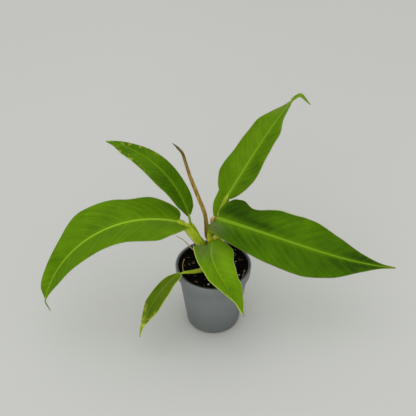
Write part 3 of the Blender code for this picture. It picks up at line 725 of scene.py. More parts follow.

# Lengths are in millimetres and angles in degrees. Of each leaf:
#   foot: where the blade meets its stalk, as x, y and height above the mix
#   heading: compass angle of the midrib, and turn: how much it swings on its way
#   rise: its slope at the foot, droop: how much it bends down by the tip, and power: how late
#   roll: lifts the left half, and fold: lifts both
#   left, right: half widths at STATIONS, and lobes: how far the two halves sweep back
#   tail: the drip tip's length, half width, turn, droop, and the share of it where that starts
#   stalk: height of its joint on the stem, bearing and climb there, radius there and at the blade
#   ripple: height and count of the waves along the margins, and crown: how far each half arches
#   rib: half width of the pale rib at the foot
#   vein_gap: spacing of the side veins, and veins: how strongly they show
#    painted_shading: patches of painted light (+) and painted shade (-) on the green, as share along,
#        share across, size along, size across and amount
#   curls: stretches of margin that roll upwards, as side, from, to and width
#   mottle: how strongly it is flecked
# Some have more:
#   rib_shift: how far the rib starts to the left of the foot, and the share where it comes back
#   lobe_power: how bluntly the lobes sweep back, and corner: their rounding
#   heel: how far the blade runs back over its stalk
#    painted_sheen: a patch of painted grey sheen, placed like the painted shading
#   margin: width of the pale margin, and margin_tint: its colour
#   tail_tint: how much paler the drip tip is
#   dent: where a margin dips in (or bulges, below zero), as side, share along, size and depth
#   bow: a stalk that bows aside has its own joint height, bearing and climb, and the shares of
#       its length over which it leaves the stem and meets the blade
#   parallel: its veins run side by side along the blade
LEAVES = {
    "right": dict(
        foot=(7, 6, 95), length=284, heading=-3, turn=-13, rise=-19, droop=-27, power=3.0,
        roll=40, fold=12, lobes=(2, 13),
        left=(18, 36, 30, 43, 42, 29, 12, 3, 1), right=(23, 31, 38, 46, 48, 37, 15, 3, 1),
        tail=None, stalk=(41, 5, 80, 3.4, 2.2),
        green=(66, 104, 1), dark=(36, 66, 1), light=(98, 140, 4), rib_green=(116, 154, 26),
        ripple=(1.2, 4), crown=1.5, rib=3.2, vein_gap=15, veins=0.10,
        painted_shading=((0.10, 0.6, 0.14, 0.5, -0.75), (0.42, 0.25, 0.12, 0.35, 0.45),
                (0.60, -0.5, 0.12, 0.5, -0.3), (0.88, 0.0, 0.18, 0.9, -1.2),
                (0.1, -0.6, 0.12, 0.4, -0.5), (0.24, 0.22, 0.14, 0.22, -0.9)),
        curls=((1, 0.22, 0.47, 4.2),), mottle=0.0, lobe_power=0.7,
        dent=("left", 0.115, 0.032, -4.0),
        painted_sheen=(0.01, -0.6, 0.055, 0.35, 0.6), margin=1.0, margin_tint=(118, 120, 34),
    ),
    "left": dict(
        foot=(-52, 4, 89), length=269, heading=184, turn=30, rise=18, droop=91, power=1.1,
        roll=-12, fold=12, lobes=(14, 1),
        left=(10, 32, 50, 44, 37, 30, 19, 7, 1), right=(20, 31, 40.5, 46, 46.5, 31, 20, 14, 1),
        tail=(28, 2.2, 0, 32, 0.0), stalk=(37, 185, 50, 5.0, 3.8),
        green=(83, 121, 2), dark=(50, 83, 1), light=(110, 150, 12), rib_green=(146, 182, 44),
        ripple=(1.0, 3), crown=2.0, rib=2.5, vein_gap=14, veins=0.10,
        painted_shading=((0.04, -0.7, 0.06, 0.3, -0.4), (0.4, 0.4, 0.3, 0.5, 0.1)),
        curls=(), mottle=0.0, dent=("right", 0.265, 0.075, 6.5),
    ),
    "upper_left": dict(
        foot=(-38, 8, 100), length=181, heading=163, turn=2, rise=75, droop=74, power=1.2,
        roll=-20, fold=12, lobes=(1, 3),
        left=(3, 10, 18, 24, 27, 22, 16, 5, 1), right=(3, 14, 17, 18, 18, 14, 8, 3, 1),
        tail=None, stalk=(30, 140, 45, 2.4, 1.7), bow=(33, 165, 30, 0.5, 0.25),
        green=(68, 105, 2), dark=(44, 77, 1), light=(92, 131, 8), rib_green=(112, 148, 28),
        ripple=(0.6, 4), crown=1.0, rib=1.5, vein_gap=10, veins=0.12,
        painted_shading=((0.25, 0.5, 0.2, 0.4, -0.4), (0.7, 0.3, 0.2, 0.5, 0.3)),
        curls=(), mottle=0.5,
    ),
    "upper_right": dict(
        foot=(21, 30, 118), length=176, heading=36, turn=5, rise=50, droop=17, power=2.2,
        roll=5, fold=12, lobes=(1, 1),
        left=(16, 27, 35, 33, 30, 28, 16, 5, 1.5), right=(7, 18, 27, 31, 25, 23, 10, 5, 1.5),
        tail=(38, 5.0, -51, 78, 0.3), stalk=(51, 60, 72, 3.2, 2.4),
        green=(82, 118, 3), dark=(52, 87, 1), light=(104, 143, 14), rib_green=(120, 156, 30),
        ripple=(1.0, 4), crown=1.5, rib=2.7, vein_gap=12, veins=0.10,
        painted_shading=((0.3, -0.6, 0.4, 0.5, -0.45), (0.55, 0.4, 0.35, 0.5, 0.4)),
        tail_tint=0.8, painted_sheen=(0.93, 0.2, 0.08, 0.8, 0.35),
        curls=(), mottle=0.15,
    ),
    "front": dict(
        foot=(-11, -16, 55), length=122, heading=-68, turn=40, rise=-30, droop=31, power=1.8,
        roll=0, fold=12, lobes=(7, 4),
        left=(26, 32, 37, 30, 26, 22, 13, 3, 1), right=(22, 23.5, 24, 23, 18, 8, 3, 2, 1),
        tail=None, stalk=(19, 262, 70, 2.8, 2.0),
        green=(95, 135, 4), dark=(68, 104, 4), light=(120, 157, 20), rib_green=(126, 160, 42),
        ripple=(1.3, 4), crown=1.6, rib=1.1, vein_gap=10, veins=0.14,
        painted_shading=((0.0, -0.5, 0.12, 0.6, -0.8), (0.3, 0.6, 0.3, 0.5, 0.5),
                (0.15, 0.1, 0.15, 0.2, -0.5), (0.7, 0.0, 0.2, 0.3, -0.4)),
        curls=(), mottle=0.25, rib_shift=(13, 0.09), lobe_power=0.5, corner=0.04, heel=4,
        painted_sheen=(0.0, -0.3, 0.14, 0.7, 0.5), margin=1.3,
    ),
    "front_left": dict(
        foot=FRONT_LEFT_FOOT, length=126, heading=218, turn=1, rise=-3, droop=74, power=0.7,
        roll=0, fold=12, lobes=(0, 0),
        left=(4, 9, 12, 19, 20, 14, 4, 2, 1), right=(3, 7, 11, 13, 13, 9, 4, 2, 1),
        tail=None, stalk=(5, 240, 0, 2.8, 1.4),
        green=(80, 108, 8), dark=(52, 80, 4), light=(128, 146, 44), rib_green=(88, 114, 24),
        ripple=(0.5, 3), crown=0.8, rib=0.8, vein_gap=5, veins=0.0,
        painted_shading=((0.95, 0.0, 0.2, 0.9, 1.5),),
        curls=(), mottle=1.3, margin=1.2, parallel=True,
    ),
    "back": dict(
        foot=(6, 38, 64), length=88, heading=46, turn=0, rise=73, droop=25, power=1.2,
        roll=0, fold=14, lobes=(0, 0),
        left=(3, 8, 12, 14, 13, 10, 6, 2, 1), right=(3, 8, 12, 14, 13, 10, 6, 2, 1),
        tail=None, stalk=(43, 80, 40, 2.2, 1.6),
        green=(102, 142, 8), dark=(74, 112, 4), light=(122, 160, 24), rib_green=(134, 166, 40),
        ripple=(0.4, 3), crown=0.8, rib=0.8, vein_gap=7, veins=0.10,
        painted_shading=(), curls=(), mottle=0.1,
    ),
}
MARGIN_PALE = (190, 206, 92)
# painted light on the margins that curl upwards
CURL_PAINTED_LIGHT = (196, 202, 160)
# painted sheen
PAINTED_SHEEN_GREY = (112, 112, 78)
FLECK_YELLOW = (190, 190, 66)
BURNT_TIP = (122, 100, 44)
UNDERSIDE_PALE = (138, 160, 96)
UNDERSIDE_DEEP = (112, 136, 74)


def leaf_spine(leaf, rows):
    """(place, ahead, level, share, share of the tail) at each row of a blade's midrib."""
    length = leaf["length"] * MM
    tail = leaf["tail"] or (0, 0, 0, 0, 0)
    whole = length + tail[0] * MM
    place = Vector(leaf["foot"]) * MM + Vector((0, 0, SOIL_TOP))
    spine = []
    for k in range(rows + 1):
        far = whole * k / rows
        t = min(far / length, 1)
        over = max(far - length, 0) / (tail[0] * MM) if tail[0] else 0
        bent = min(max((over - tail[4]) / TAIL_BEND, 0), 1)
        bent = bent * bent * (3 - 2 * bent)
        sway = leaf["turn"] * t + tail[2] * min(over / TAIL_TURN, 1)
        heading = math.radians(leaf["heading"] + sway)
        slope = math.radians(leaf["rise"] - leaf["droop"] * t ** leaf["power"] - tail[3] * bent)
        ahead = Vector((
            math.cos(slope) * math.cos(heading), math.cos(slope) * math.sin(heading),
            math.sin(slope),
        ))
        level = Vector((-math.sin(heading), math.cos(heading), 0))
        spine.append((place.copy(), ahead, level, t, over))
        place += ahead * whole / rows
    return spine


def half_width(leaf, side, t, over):
    """Half width of a blade, rounded off at the corner of its basal lobe."""
    if over > 0:
        widest = leaf["tail"][1] * MM
        round_wave = TAIL_WIDTHS[0] + TAIL_WIDTHS[1] * over
        return max(widest * math.sin(math.pi * round_wave), TAIL_LEAST)
    width = max(smooth_value(STATIONS, leaf[side], t) * MM, TIP_HALF_WIDTH)
    dented, middle, size, depth = leaf.get("dent", ("", 0, 1, 0))
    if side == dented:
        width -= depth * MM * math.exp(-((t - middle) / size) ** 2)
    corner = leaf.get("corner", CORNER_ROUNDING) * width
    along = t * leaf["length"] * MM
    if along < corner:
        width -= corner * (1 - math.sqrt(1 - (1 - along / corner) ** 2))
    return width


def blade_face_up(leaf, ahead, level):
    roll = math.radians(leaf["roll"])
    left = level * math.cos(roll) + ahead.cross(level) * math.sin(roll)
    return left, ahead.cross(left)


def make_blade(name, leaf, finishes):
    """A blade: a fine sheet bent along its midrib, thick at the rib and thin at its margins."""
    whole = leaf["length"] + (leaf["tail"][0] if leaf["tail"] else 0)
    rows = round(whole * MM / BLADE_ROW)
    spine = leaf_spine(leaf, rows)
    fold = math.radians(leaf["fold"])
    sinus = leaf["stalk"][4] * MM + SINUS_MARGIN
    gap = leaf["vein_gap"] * MM
    ripple, waves = leaf["ripple"]
    shift, shift_reach = leaf.get("rib_shift", (0, 1))
    lobe_power = leaf.get("lobe_power", LOBE_POWER)
    heel = leaf.get("heel", 0) * MM
    painted_sheen = leaf.get("painted_sheen", (0, 0, 1, 1, 0))
    seed = Vector((leaf["length"], leaf["heading"], 0))
    bm = bmesh.new()
    bmesh.ops.create_grid(bm, x_segments=BLADE_COLUMNS, y_segments=rows, size=1)
    layers = {}
    for layer in ("rib", "vein", "edge", "share", "shade", "across", "painted_sheen", "turned"):
        layers[layer] = bm.verts.layers.float.new(layer)
    deform = bm.verts.layers.deform.verify()
    for vert in bm.verts:
        v = math.copysign(abs(vert.co.x) ** COLUMN_CROWDING, vert.co.x)
        row = round((vert.co.y + 1) / 2 * rows)
        place, ahead, level, t, over = spine[row]
        left, face = blade_face_up(leaf, ahead, level)
        width = half_width(leaf, "left" if v > 0 else "right", t, over)
        lobe = leaf["lobes"][0 if v > 0 else 1] * MM
        out = abs(v) * width
        beside_stalk = max(out - sinus, 0) / max(width - sinus, GAP)
        back = lobe * beside_stalk ** lobe_power * max(1 - t / LOBE_REACH, 0) ** 2
        back += heel * max(1 - t / HEEL_REACH, 0) ** 2 * (1 - 0.5 * abs(v))
        from_rib = math.copysign(out, v) - shift * MM * math.exp(-t / shift_reach)
        beside_rib = abs(from_rib)
        body = math.sin(math.pi * min(t * 1.02, 1)) ** 0.5
        lift = (math.sqrt(beside_rib ** 2 + RIB_VALLEY ** 2) - RIB_VALLEY) * math.sin(fold)
        lift += leaf["crown"] * MM * 4 * abs(v) * (1 - abs(v)) * body
        wave = math.sin(2 * math.pi * (waves * t + 0.25 * math.copysign(1, v)) + leaf["length"])
        lift += ripple * MM * abs(v) ** 3 * body * wave
        lift += CRUMPLE * abs(v) * body * noise.noise(seed + Vector((t * 6, v * 2.2, 0)))
        along = t * leaf["length"] * MM
        forward = VEIN_SWEEP[0] * beside_rib + VEIN_SWEEP[1] * beside_rib ** 2 / max(width, 20 * MM)
        side_step = 0.5 * min(beside_rib / (3 * MM), 1) * (1 if from_rib > 0 else 0)
        phase = (along - forward) / gap + side_step
        quilt = min(max(out / width - 0.08, 0) / 0.2, 1) * min((1 - abs(v)) / 0.15, 1)
        lift -= QUILTING * gap * math.cos(2 * math.pi * phase) * quilt * body
        tuck = 0
        vert[layers["turned"]] = 0
        for side, first, last, wide in leaf["curls"]:
            if side * v > 0 and first < t < last:
                strength = math.sin(math.pi * (t - first) / (last - first)) ** 0.6
                reach = wide * MM * strength
                inside = out - (width - reach)
                if inside > 0:
                    bend = min(inside / max(reach, GAP), 1) * CURL_BEND
                    tuck = inside - reach * math.sin(bend) / CURL_BEND
                    lift += reach * (1 - math.cos(bend)) / CURL_BEND
                    vert[layers["turned"]] = strength * inside / max(reach, GAP)
        aside = math.copysign(out * math.cos(fold) - tuck, v)
        vert.co = place + left * aside + face * lift - ahead * back
        in_tail = min(3 * over, 1)
        rib_width = leaf["rib"] * MM * (1 - RIB_TAPER[0] * t ** RIB_TAPER[1])
        rib_width *= 1 - RIB_IN_TAIL * in_tail
        vert[layers["rib"]] = min(beside_rib / rib_width, 6)
        vert[layers["vein"]] = phase
        vert[layers["edge"]] = min((1 - abs(v)) * width / MM, WIDEST_EDGE)
        vert[layers["share"]] = row / rows
        vert[layers["across"]] = from_rib / (30 * MM)
        tone_with_painted_shading = leaf.get("tail_tint", 0) * in_tail
        # painted light and painted shade, added to the tail's own paler tint
        for t0, v0, long, wide, amount in leaf["painted_shading"]:
            tone_with_painted_shading += amount * math.exp(-((t - t0) / long) ** 2 - ((v - v0) / wide) ** 2)
        vert[layers["shade"]] = tone_with_painted_shading
        # painted sheen: a grey patch where the blade catches the light
        near_painted_sheen = ((t - painted_sheen[0]) / painted_sheen[2]) ** 2 + ((v - painted_sheen[1]) / painted_sheen[3]) ** 2
        vert[layers["painted_sheen"]] = painted_sheen[4] * math.exp(-near_painted_sheen)
        thin = BLADE_THICKNESS / RIB_THICKNESS
        hump = math.exp(-(beside_rib / max(rib_width, 0.8 * MM)) ** 2)
        vert[deform][0] = min(thin + (1 - thin) * hump * (1 - t) ** 0.5, 1)
    bmesh.ops.reverse_faces(bm, faces=bm.faces)
    blade = placed_piece("blade_" + name, bm, *finishes)
    blade.vertex_groups.new(name="thickness")
    shell = blade.modifiers.new("thickness", "SOLIDIFY")
    shell.thickness = RIB_THICKNESS
    shell.offset = 0
    shell.vertex_group = "thickness"
    shell.material_offset = 1
    belongs(blade, "leaf_mottled" if name == "front_left" else "leaf", "leaf_" + name)
    return blade


def let_light_in(shader, weight, spread, depth):
    """Lets light scatter a little way into the skin. depth is in metres."""
    shader.inputs["Subsurface Weight"].default_value = weight
    shader.inputs["Subsurface Radius"].default_value = spread
    shader.inputs["Subsurface Scale"].default_value = depth


def swung(tree, value, amount):
    """A noise value brought to swing about zero, times an amount."""
    return calc(tree, "MULTIPLY", calc(tree, "SUBTRACT", value, 0.5), amount)


def vein_lines(tree, phase, repeat, thin, wide):
    """1 along the side veins and 0 between them."""
    wave = calc(tree, "PINGPONG", calc(tree, "MULTIPLY", phase, repeat), 0.5)
    return between(tree, wave, wide, thin)


def leaf_top_finish(name, leaf):
    """Semi-gloss green with a pale rib, soft veins, patchy green with painted light and shade, a
    painted grey sheen, painted light on curled margins, a pale margin and flecks.
    """
    finish, tree, shader = new_finish(f"leaf {name} upper side", 0.38, 0.04)
    rib, phase, edge = attribute(tree, "rib"), attribute(tree, "vein"), attribute(tree, "edge")
    share, shade = attribute(tree, "share"), attribute(tree, "shade")
    broad = surface_noise(tree, 28, 3)
    cells = surface_noise(tree, 330, 3)
    # painted light and shade from the patches, with noise for patchy green
    uneven_with_painted_shading = calc(tree, "ADD", shade, swung(tree, broad, 1.3))
    uneven_with_painted_shading = calc(tree, "ADD", uneven_with_painted_shading, swung(tree, cells, 0.25))
    if leaf.get("parallel"):
        side_by_side = calc(tree, "MULTIPLY", attribute(tree, "across"), 26.0)
        lay = add_node(tree, "CombineXYZ", X=side_by_side, Y=calc(tree, "MULTIPLY", share, 2.0))
    else:
        along = calc(tree, "MULTIPLY", phase, 1.4)
        lay = add_node(tree, "CombineXYZ", X=along, Y=attribute(tree, "across"))
    streak = add_node(tree, "TexNoise", Vector=lay, Scale=1.0, Detail=3.0, Roughness=0.6)
    streaky = 2.6 if leaf.get("parallel") else 1.3
    uneven_with_painted_shading = calc(tree, "ADD", uneven_with_painted_shading, swung(tree, streak, streaky))
    lighter, darker = between(tree, uneven_with_painted_shading, -0.1, 1.0), between(tree, uneven_with_painted_shading, 0.1, -1.0)
    colour = blended(tree, lighter, paint(leaf["green"]), paint(leaf["light"]))
    colour = blended(tree, darker, colour, paint(leaf["dark"]))
    near_rib = between(tree, rib, 5.0, 1.0)
    colour = tinted(tree, colour, near_rib, 0.35, paint(leaf["light"]))
    main_veins = vein_lines(tree, phase, 1, 0.015, 0.10)
    fine_veins = vein_lines(tree, phase, 4, 0.05, 0.30)
    colour = tinted(tree, colour, main_veins, leaf["veins"], paint(leaf["rib_green"]))
    fine_share = 0.3 * leaf["veins"]
    colour = tinted(tree, colour, fine_veins, fine_share, paint(leaf["rib_green"]))
    fleck = surface_noise(tree, 170, 3, rough=0.5)
    near_margin, far_out = between(tree, edge, 9.0, 0.0), between(tree, share, 0.35, 0.85)
    fleck_zone = calc(tree, "MULTIPLY", near_margin, far_out)
    flecks = calc(tree, "MULTIPLY", between(tree, fleck, 0.50, 0.64), fleck_zone)
    colour = tinted(tree, colour, flecks, leaf["mottle"], paint(FLECK_YELLOW))
    # painted sheen laid over the green
    painted_sheen = calc(tree, "MULTIPLY", attribute(tree, "painted_sheen"), between(tree, cells, 0.2, 0.6))
    colour = blended(tree, painted_sheen, colour, paint(PAINTED_SHEEN_GREY))
    pale_width = leaf.get("margin", 0.8)
    pale_share = 0.75 if "margin" in leaf else 0.2
    margin = between(tree, edge, pale_width, 0.45 * pale_width)
    pale = paint(leaf.get("margin_tint", MARGIN_PALE))
    colour = tinted(tree, colour, margin, pale_share, pale)
    # painted light: curled-up margins are painted pale
    painted_light_on_curls = between(tree, attribute(tree, "turned"), 0.45, 0.75)
    colour = tinted(tree, colour, painted_light_on_curls, 0.9, paint(CURL_PAINTED_LIGHT))
    rib_mask = between(tree, rib, 1.15, 0.75)
    colour = tinted(tree, colour, rib_mask, 0.9, paint(leaf["rib_green"]))
    colour = tinted(tree, colour, between(tree, share, 0.975, 1.0), 0.6, paint(BURNT_TIP))
    feed(tree, colour, shader, "Base Color")
    waxy = add_node(tree, "MapRange", i0=broad, i1=0.3, i2=0.7, i3=0.36, i4=0.5)
    feed(tree, waxy, shader, "Roughness")
    let_light_in(shader, 0.05, (0.4, 1.0, 0.1), 1.5 * MM)
    sunk = calc(tree, "MULTIPLY", main_veins, -1.0)
    sunk = calc(tree, "ADD", sunk, calc(tree, "MULTIPLY", fine_veins, -0.3))
    veined = raised(tree, shader, sunk, 0.15 * MM, 0.5)
    raised(tree, shader, cells, 0.15 * MM, 0.5, under=veined)
    return finish


def leaf_under_finish(name, leaf):
    """The underside: paler, greyer and duller, with the rib and veins standing out, and painted light
    on curled margins.
    """
    finish, tree, shader = new_finish(f"leaf {name} underside", 0.6, 0.2)
    rib, phase = attribute(tree, "rib"), attribute(tree, "vein")
    cells = surface_noise(tree, 260, 3)
    pale = tuple(0.55 * a + 0.45 * b for a, b in zip(leaf["light"], UNDERSIDE_PALE))
    deep = tuple(0.6 * a + 0.4 * b for a, b in zip(leaf["green"], UNDERSIDE_DEEP))
    colour = blended(tree, between(tree, cells, 0.3, 0.7), paint(deep), paint(pale))
    main_veins = vein_lines(tree, phase, 1, 0.02, 0.09)
    colour = tinted(tree, colour, main_veins, 0.45, paint(leaf["rib_green"]))
    colour = blended(tree, between(tree, rib, 1.3, 0.8), colour, paint(leaf["rib_green"]))
    # painted light on the curled-up margins
    painted_light_on_curls = between(tree, attribute(tree, "turned"), 0.2, 0.5)
    colour = tinted(tree, colour, painted_light_on_curls, 0.9, paint(CURL_PAINTED_LIGHT))
    feed(tree, colour, shader, "Base Color")
    veined = raised(tree, shader, main_veins, 0.5 * MM, 0.8)
    raised(tree, shader, cells, 0.15 * MM, 0.5, under=veined)
    return finish


for name, leaf in LEAVES.items():
    make_blade(name, leaf, (leaf_top_finish(name, leaf), leaf_under_finish(name, leaf)))

# ---------------------------------------------------------------------------------------------
# Stalks: smooth, fleshy and pale yellow-green, flat or grooved on the side that faces the stem,
# each with a broad base that clasps the stem. They run straight on into the blade's midrib.
# ---------------------------------------------------------------------------------------------

STALK_END_STRAIGHT = 1.5 * MM
STALK_BEND = 5 * MM
STALK_END_GAP = 2.8 * GAP
STALK_STEPS = 60
STALK_INTO_RIB = 5 * MM  # the stalk's end runs on under the blade
STALK_LEAVING = 0.4  # share of its length over which a stalk leaves the stem
STALK_AROUND = 28
STALK_TAPER_END = 0.9  # the share at which a stalk is down to its thin end
HEEL_DROP = 0.6  # how far under a heel its stalk lies, in millimetres
CLASP_WIDENING = 0.35
CLASP_SHARE = 0.14
GROOVE_DEPTH = 0.16
GROOVE_WIDTH = 0.06
FLATTENING = 0.55
STALK_RADII = {"front_left": (5.2, 1.4), "left": (6.3, 4.9), "upper_left": (2.8, 1.8),
               "upper_right": (3.5, 3.0)}  # where they differ, in millimetres
STALK_COLOURS = {
    "right": ((126, 142, 14), (156, 168, 34)),
    "left": ((148, 170, 20), (180, 194, 60)),
    "upper_left": ((128, 152, 16), (156, 174, 44)),
    "upper_right": ((138, 160, 24), (172, 186, 64)),
    "front": ((110, 134, 12), (144, 160, 30)),
    "front_left": ((148, 172, 18), (178, 192, 48)),
    "back": ((116, 140, 14), (146, 162, 32)),
}


def stalk_finish(name, deep, pale):
    finish, tree, shader = new_finish(f"stalk {name} skin", 0.42, 0.12)
    share, turn = attribute(tree, "share"), attribute(tree, "turn")
    streaks = surface_noise(tree, 420, 3, stretch=(1, 1, 0.25))
    broad = surface_noise(tree, 60, 2)
    colour = blended(tree, between(tree, broad, 0.3, 0.7), paint(deep), paint(pale))
    colour = tinted(tree, colour, between(tree, streaks, 0.5, 0.75), 0.4, paint(pale, 1.1))
    colour = tinted(tree, colour, between(tree, turn, 0.55, 0.95), 0.35, paint(deep, 0.8))
    colour = tinted(tree, colour, between(tree, share, 0.16, 0.0), 0.5, paint(STEM_GREEN))
    feed(tree, colour, shader, "Base Color")
    let_light_in(shader, 0.1, (0.6, 1.0, 0.2), 2 * MM)
    raised(tree, shader, streaks, 0.15 * MM, 0.5)
    return finish


def stalk_route(leaf):
    """The stalk's middle line from inside its joint on the stem to its blade."""
    height, bearing, climb, thick, thin = leaf["stalk"]
    leaving, meeting = STALK_LEAVING, 0
    if "bow" in leaf:
        height, bearing, climb, leaving, meeting = leaf["bow"]
    bearing, climb = math.radians(bearing), math.radians(climb)
    outward = Vector((math.cos(bearing), math.sin(bearing), 0))
    leave = outward * math.cos(climb) + Vector((0, 0, math.sin(climb)))
    joint = stem_point(height * MM)
    start = joint + outward * (stem_reach(height * MM) + GAP + thick * MM * math.sin(climb))
    foot, ahead, level = leaf_spine(leaf, 20)[0][:3]
    bend = foot - ahead * (STALK_END_GAP + STALK_END_STRAIGHT)
    reach = (bend - start).length
    route = []
    for k in range(STALK_STEPS + 1):
        route.append(bezier_point(
            start, start + leave * leaving * reach, bend - ahead * max(STALK_BEND, meeting * reach),
            bend, k / STALK_STEPS,
        ))
    for k in (1, 2, 3):
        route.append(bend + ahead * (foot - bend).length * k / 3)
    route.append(foot + ahead * STALK_INTO_RIB)
    face = blade_face_up(leaf, ahead, level)[1]
    if leaf.get("heel"):
        for k, point in enumerate(route):
            below = min(max(k / STALK_STEPS - 0.5, 0) / 0.4, 1)
            point -= face * (thin + HEEL_DROP) * MM * below * below * (3 - 2 * below)
    return route, face


def stalk_reach(thick, thin, into_rib):
    """Fleshy and grooved on top, broad where it clasps the stem, flattened into the rib."""
    def reach(share, angle):
        radius = thick + (thin - thick) * min(share / STALK_TAPER_END, 1)
        clasp = 1 + CLASP_WIDENING * max(1 - share / CLASP_SHARE, 0) ** 2 * abs(math.sin(angle))
        groove = GROOVE_DEPTH * math.exp(-((1 - math.cos(angle)) / GROOVE_WIDTH)) * min(share / 0.2, 1)
        if share > into_rib:
            radius *= 1 - FLATTENING * (share - into_rib) / (1 - into_rib)
        return radius * clasp * (1 - groove)
    return reach


stalks = {}
for name, leaf in LEAVES.items():
    route, up = stalk_route(leaf)
    thick, thin = (radius * MM for radius in STALK_RADII.get(name, leaf["stalk"][3:]))
    finish = stalk_finish(name, *STALK_COLOURS[name])
    into_rib = (len(route) - 2) / (len(route) - 1)
    bm = grown_tube(route, up, STALK_AROUND, stalk_reach(thick, thin, into_rib))
    stalk = placed_piece("stalk_" + name, bm, finish)
    belongs(stalk, "stalk", "petiole_" + name)
    stalks[name] = (route, thick, thin)

# ---------------------------------------------------------------------------------------------
# Sheaths: the winged margins of the older stalks, thin as paper. One is still green and broad,
# one is curled and yellow, and one has dried to a brown scale. They cling to their stalks.
# ---------------------------------------------------------------------------------------------

SHEATH_THICKNESS = 0.7 * MM
SPAN_PARTS = 9  # a sheath's ends are given in ninths of its stalk
SHEATH_COLUMNS = 40
SHEATH_NARROWING = (0.9, 2.5)  # how much of its width a sheath loses by its tip, and how late
FRILL = 0.3 * MM


def sheath_finish(name, deep, pale, edge_colour):
    finish, tree, shader = new_finish(name, 0.55, 0.12)
    across, share = attribute(tree, "across"), attribute(tree, "share")
    streaks = surface_noise(tree, 380, 4, stretch=(1, 1, 0.2))
    colour = blended(tree, between(tree, streaks, 0.35, 0.7), paint(deep), paint(pale))
    rim = between(tree, across, 0.82, 0.98)
    colour = tinted(tree, colour, rim, 0.8, paint(edge_colour))
    colour = tinted(tree, colour, between(tree, share, 0.85, 1.0), 0.7, paint(edge_colour))
    feed(tree, colour, shader, "Base Color")
    let_light_in(shader, 0.1, (0.8, 1.0, 0.3), 1 * MM)
    raised(tree, shader, streaks, 0.25 * MM, 0.7)
    return finish


def make_sheath(name, stalk, span, bearing, sweep, flare, wing, finish, node):
    """A sheath part of the way round a stalk. bearing 0 faces the front.

    span: where it starts and ends on the stalk, in ninths. sweep: how far it reaches to each side,
    in degrees. flare: how far its margins stand off. wing: how far a keel stands out along it, and
    the keel's bearing and width in degrees.
    """
    route, thick, thin = stalk
    first, last = (round(share * STALK_STEPS / SPAN_PARTS) for share in span)
    rows = 3 * (last - first)
    bm = bmesh.new()
    bmesh.ops.create_grid(bm, x_segments=SHEATH_COLUMNS, y_segments=rows, size=1)
    across_layer = bm.verts.layers.float.new("across")
    share_layer = bm.verts.layers.float.new("share")
    for vert in bm.verts:
        share = (vert.co.y + 1) / 2
        far = first + share * (last - first)
        low = min(int(far), len(route) - 2)
        place = route[low].lerp(route[low + 1], far - low)
        ahead = (route[low + 1] - route[low]).normalized()
        front = (ahead * ahead.y - Vector((0, 1, 0))).normalized()
        side = ahead.cross(front)
        narrowing = 1 - SHEATH_NARROWING[0] * share ** SHEATH_NARROWING[1]
        angle = math.radians(bearing + vert.co.x * sweep * narrowing)
        out = front * math.cos(angle) + side * math.sin(angle)
        radius = thick + (thin - thick) * far / len(route)
        frill = FRILL * abs(vert.co.x) ** 3 * math.sin(9 * share + 2 * vert.co.x)
        proud = GAP + SHEATH_THICKNESS / 2 + flare * abs(vert.co.x) ** 3 + frill
        if wing:
            height, keel, spread = wing
            keel_share = math.exp(-((math.degrees(angle) - keel) / spread) ** 2)
            proud += height * keel_share * math.sin(math.pi * min(share + 0.15, 1)) ** 0.5
        vert[across_layer] = abs(vert.co.x)
        vert[share_layer] = share
        vert.co = place + out * (radius + proud)
    bmesh.ops.recalc_face_normals(bm, faces=bm.faces)
    sheath = placed_piece(name, bm, finish)
    shell = sheath.modifiers.new("thickness", "SOLIDIFY")
    shell.thickness = SHEATH_THICKNESS
    shell.offset = 0
    replaced = [node] if node else []
    belongs(sheath, "dry_sheath" if node == "sheath_dry" else "sheath", *replaced)


green_sheath = sheath_finish("green sheath", (140, 166, 14), (174, 190, 46), (216, 212, 124))
yellow_sheath = sheath_finish("yellow sheath", (184, 188, 36), (214, 214, 88), (222, 214, 130))
brown_sheath = sheath_finish("dried sheath", (158, 134, 66), (196, 174, 104), (112, 90, 46))
olive_sheath = sheath_finish("olive sheath", (150, 162, 16), (178, 188, 40), (120, 96, 34))
make_sheath(
    "sheath_left_wing", stalks["left"], (1, 8), 60, 75, 0.9 * MM, (2.6 * MM, 88, 24),
    green_sheath, "sheath_left",
)
make_sheath(
    "sheath_upper_left_fin", stalks["upper_left"], (1, 7.7), 80, 60, 0, (6.5 * MM, 90, 22),
    green_sheath, None,
)
make_sheath(
    "sheath_right_curl", stalks["right"], (0.4, 3.4), 10, 105, 3.4 * MM, None,
    yellow_sheath, "sheath_right",
)
make_sheath(
    "sheath_dry_scale", stalks["right"], (5.4, 8.9), -85, 60, 1.0 * MM, (5 * MM, -90, 24),
    brown_sheath, "sheath_dry",
)

# The olive one wraps the top of the stem and the foot of the rolled leaf, a little to one side.
WRAP_SHIFT = Vector((2.4, -0.6, 0)) * MM
WRAP_RADII = (7.2 * MM, 3.2 * MM)
top = stem_point(STEM_HEIGHT)
wrap = (
    stem_point(STEM_HEIGHT - 22 * MM) + WRAP_SHIFT, stem_point(STEM_HEIGHT - 8 * MM) + WRAP_SHIFT,
    top + Vector((-3, 0, 8)) * MM, top + Vector((-5, 1, 29)) * MM,
)
wrap_route = smooth_route(wrap, STALK_STEPS // 3)
make_sheath(
    "sheath_stem_wrap", (wrap_route, *WRAP_RADII), (0, 9), 60, 110, 0.8 * MM, None,
    olive_sheath, None,
)

# ---------------------------------------------------------------------------------------------
# New leaf: the next blade, still rolled into a long thin spike on top of the stem, brown and tan
# above and olive below, where its outer layer ends in a seam that winds slowly round it.
# ---------------------------------------------------------------------------------------------

NEW_LEAF_RADIUS = 3.3 * MM
NEW_LEAF_TIP_RADIUS = 1.4 * MM
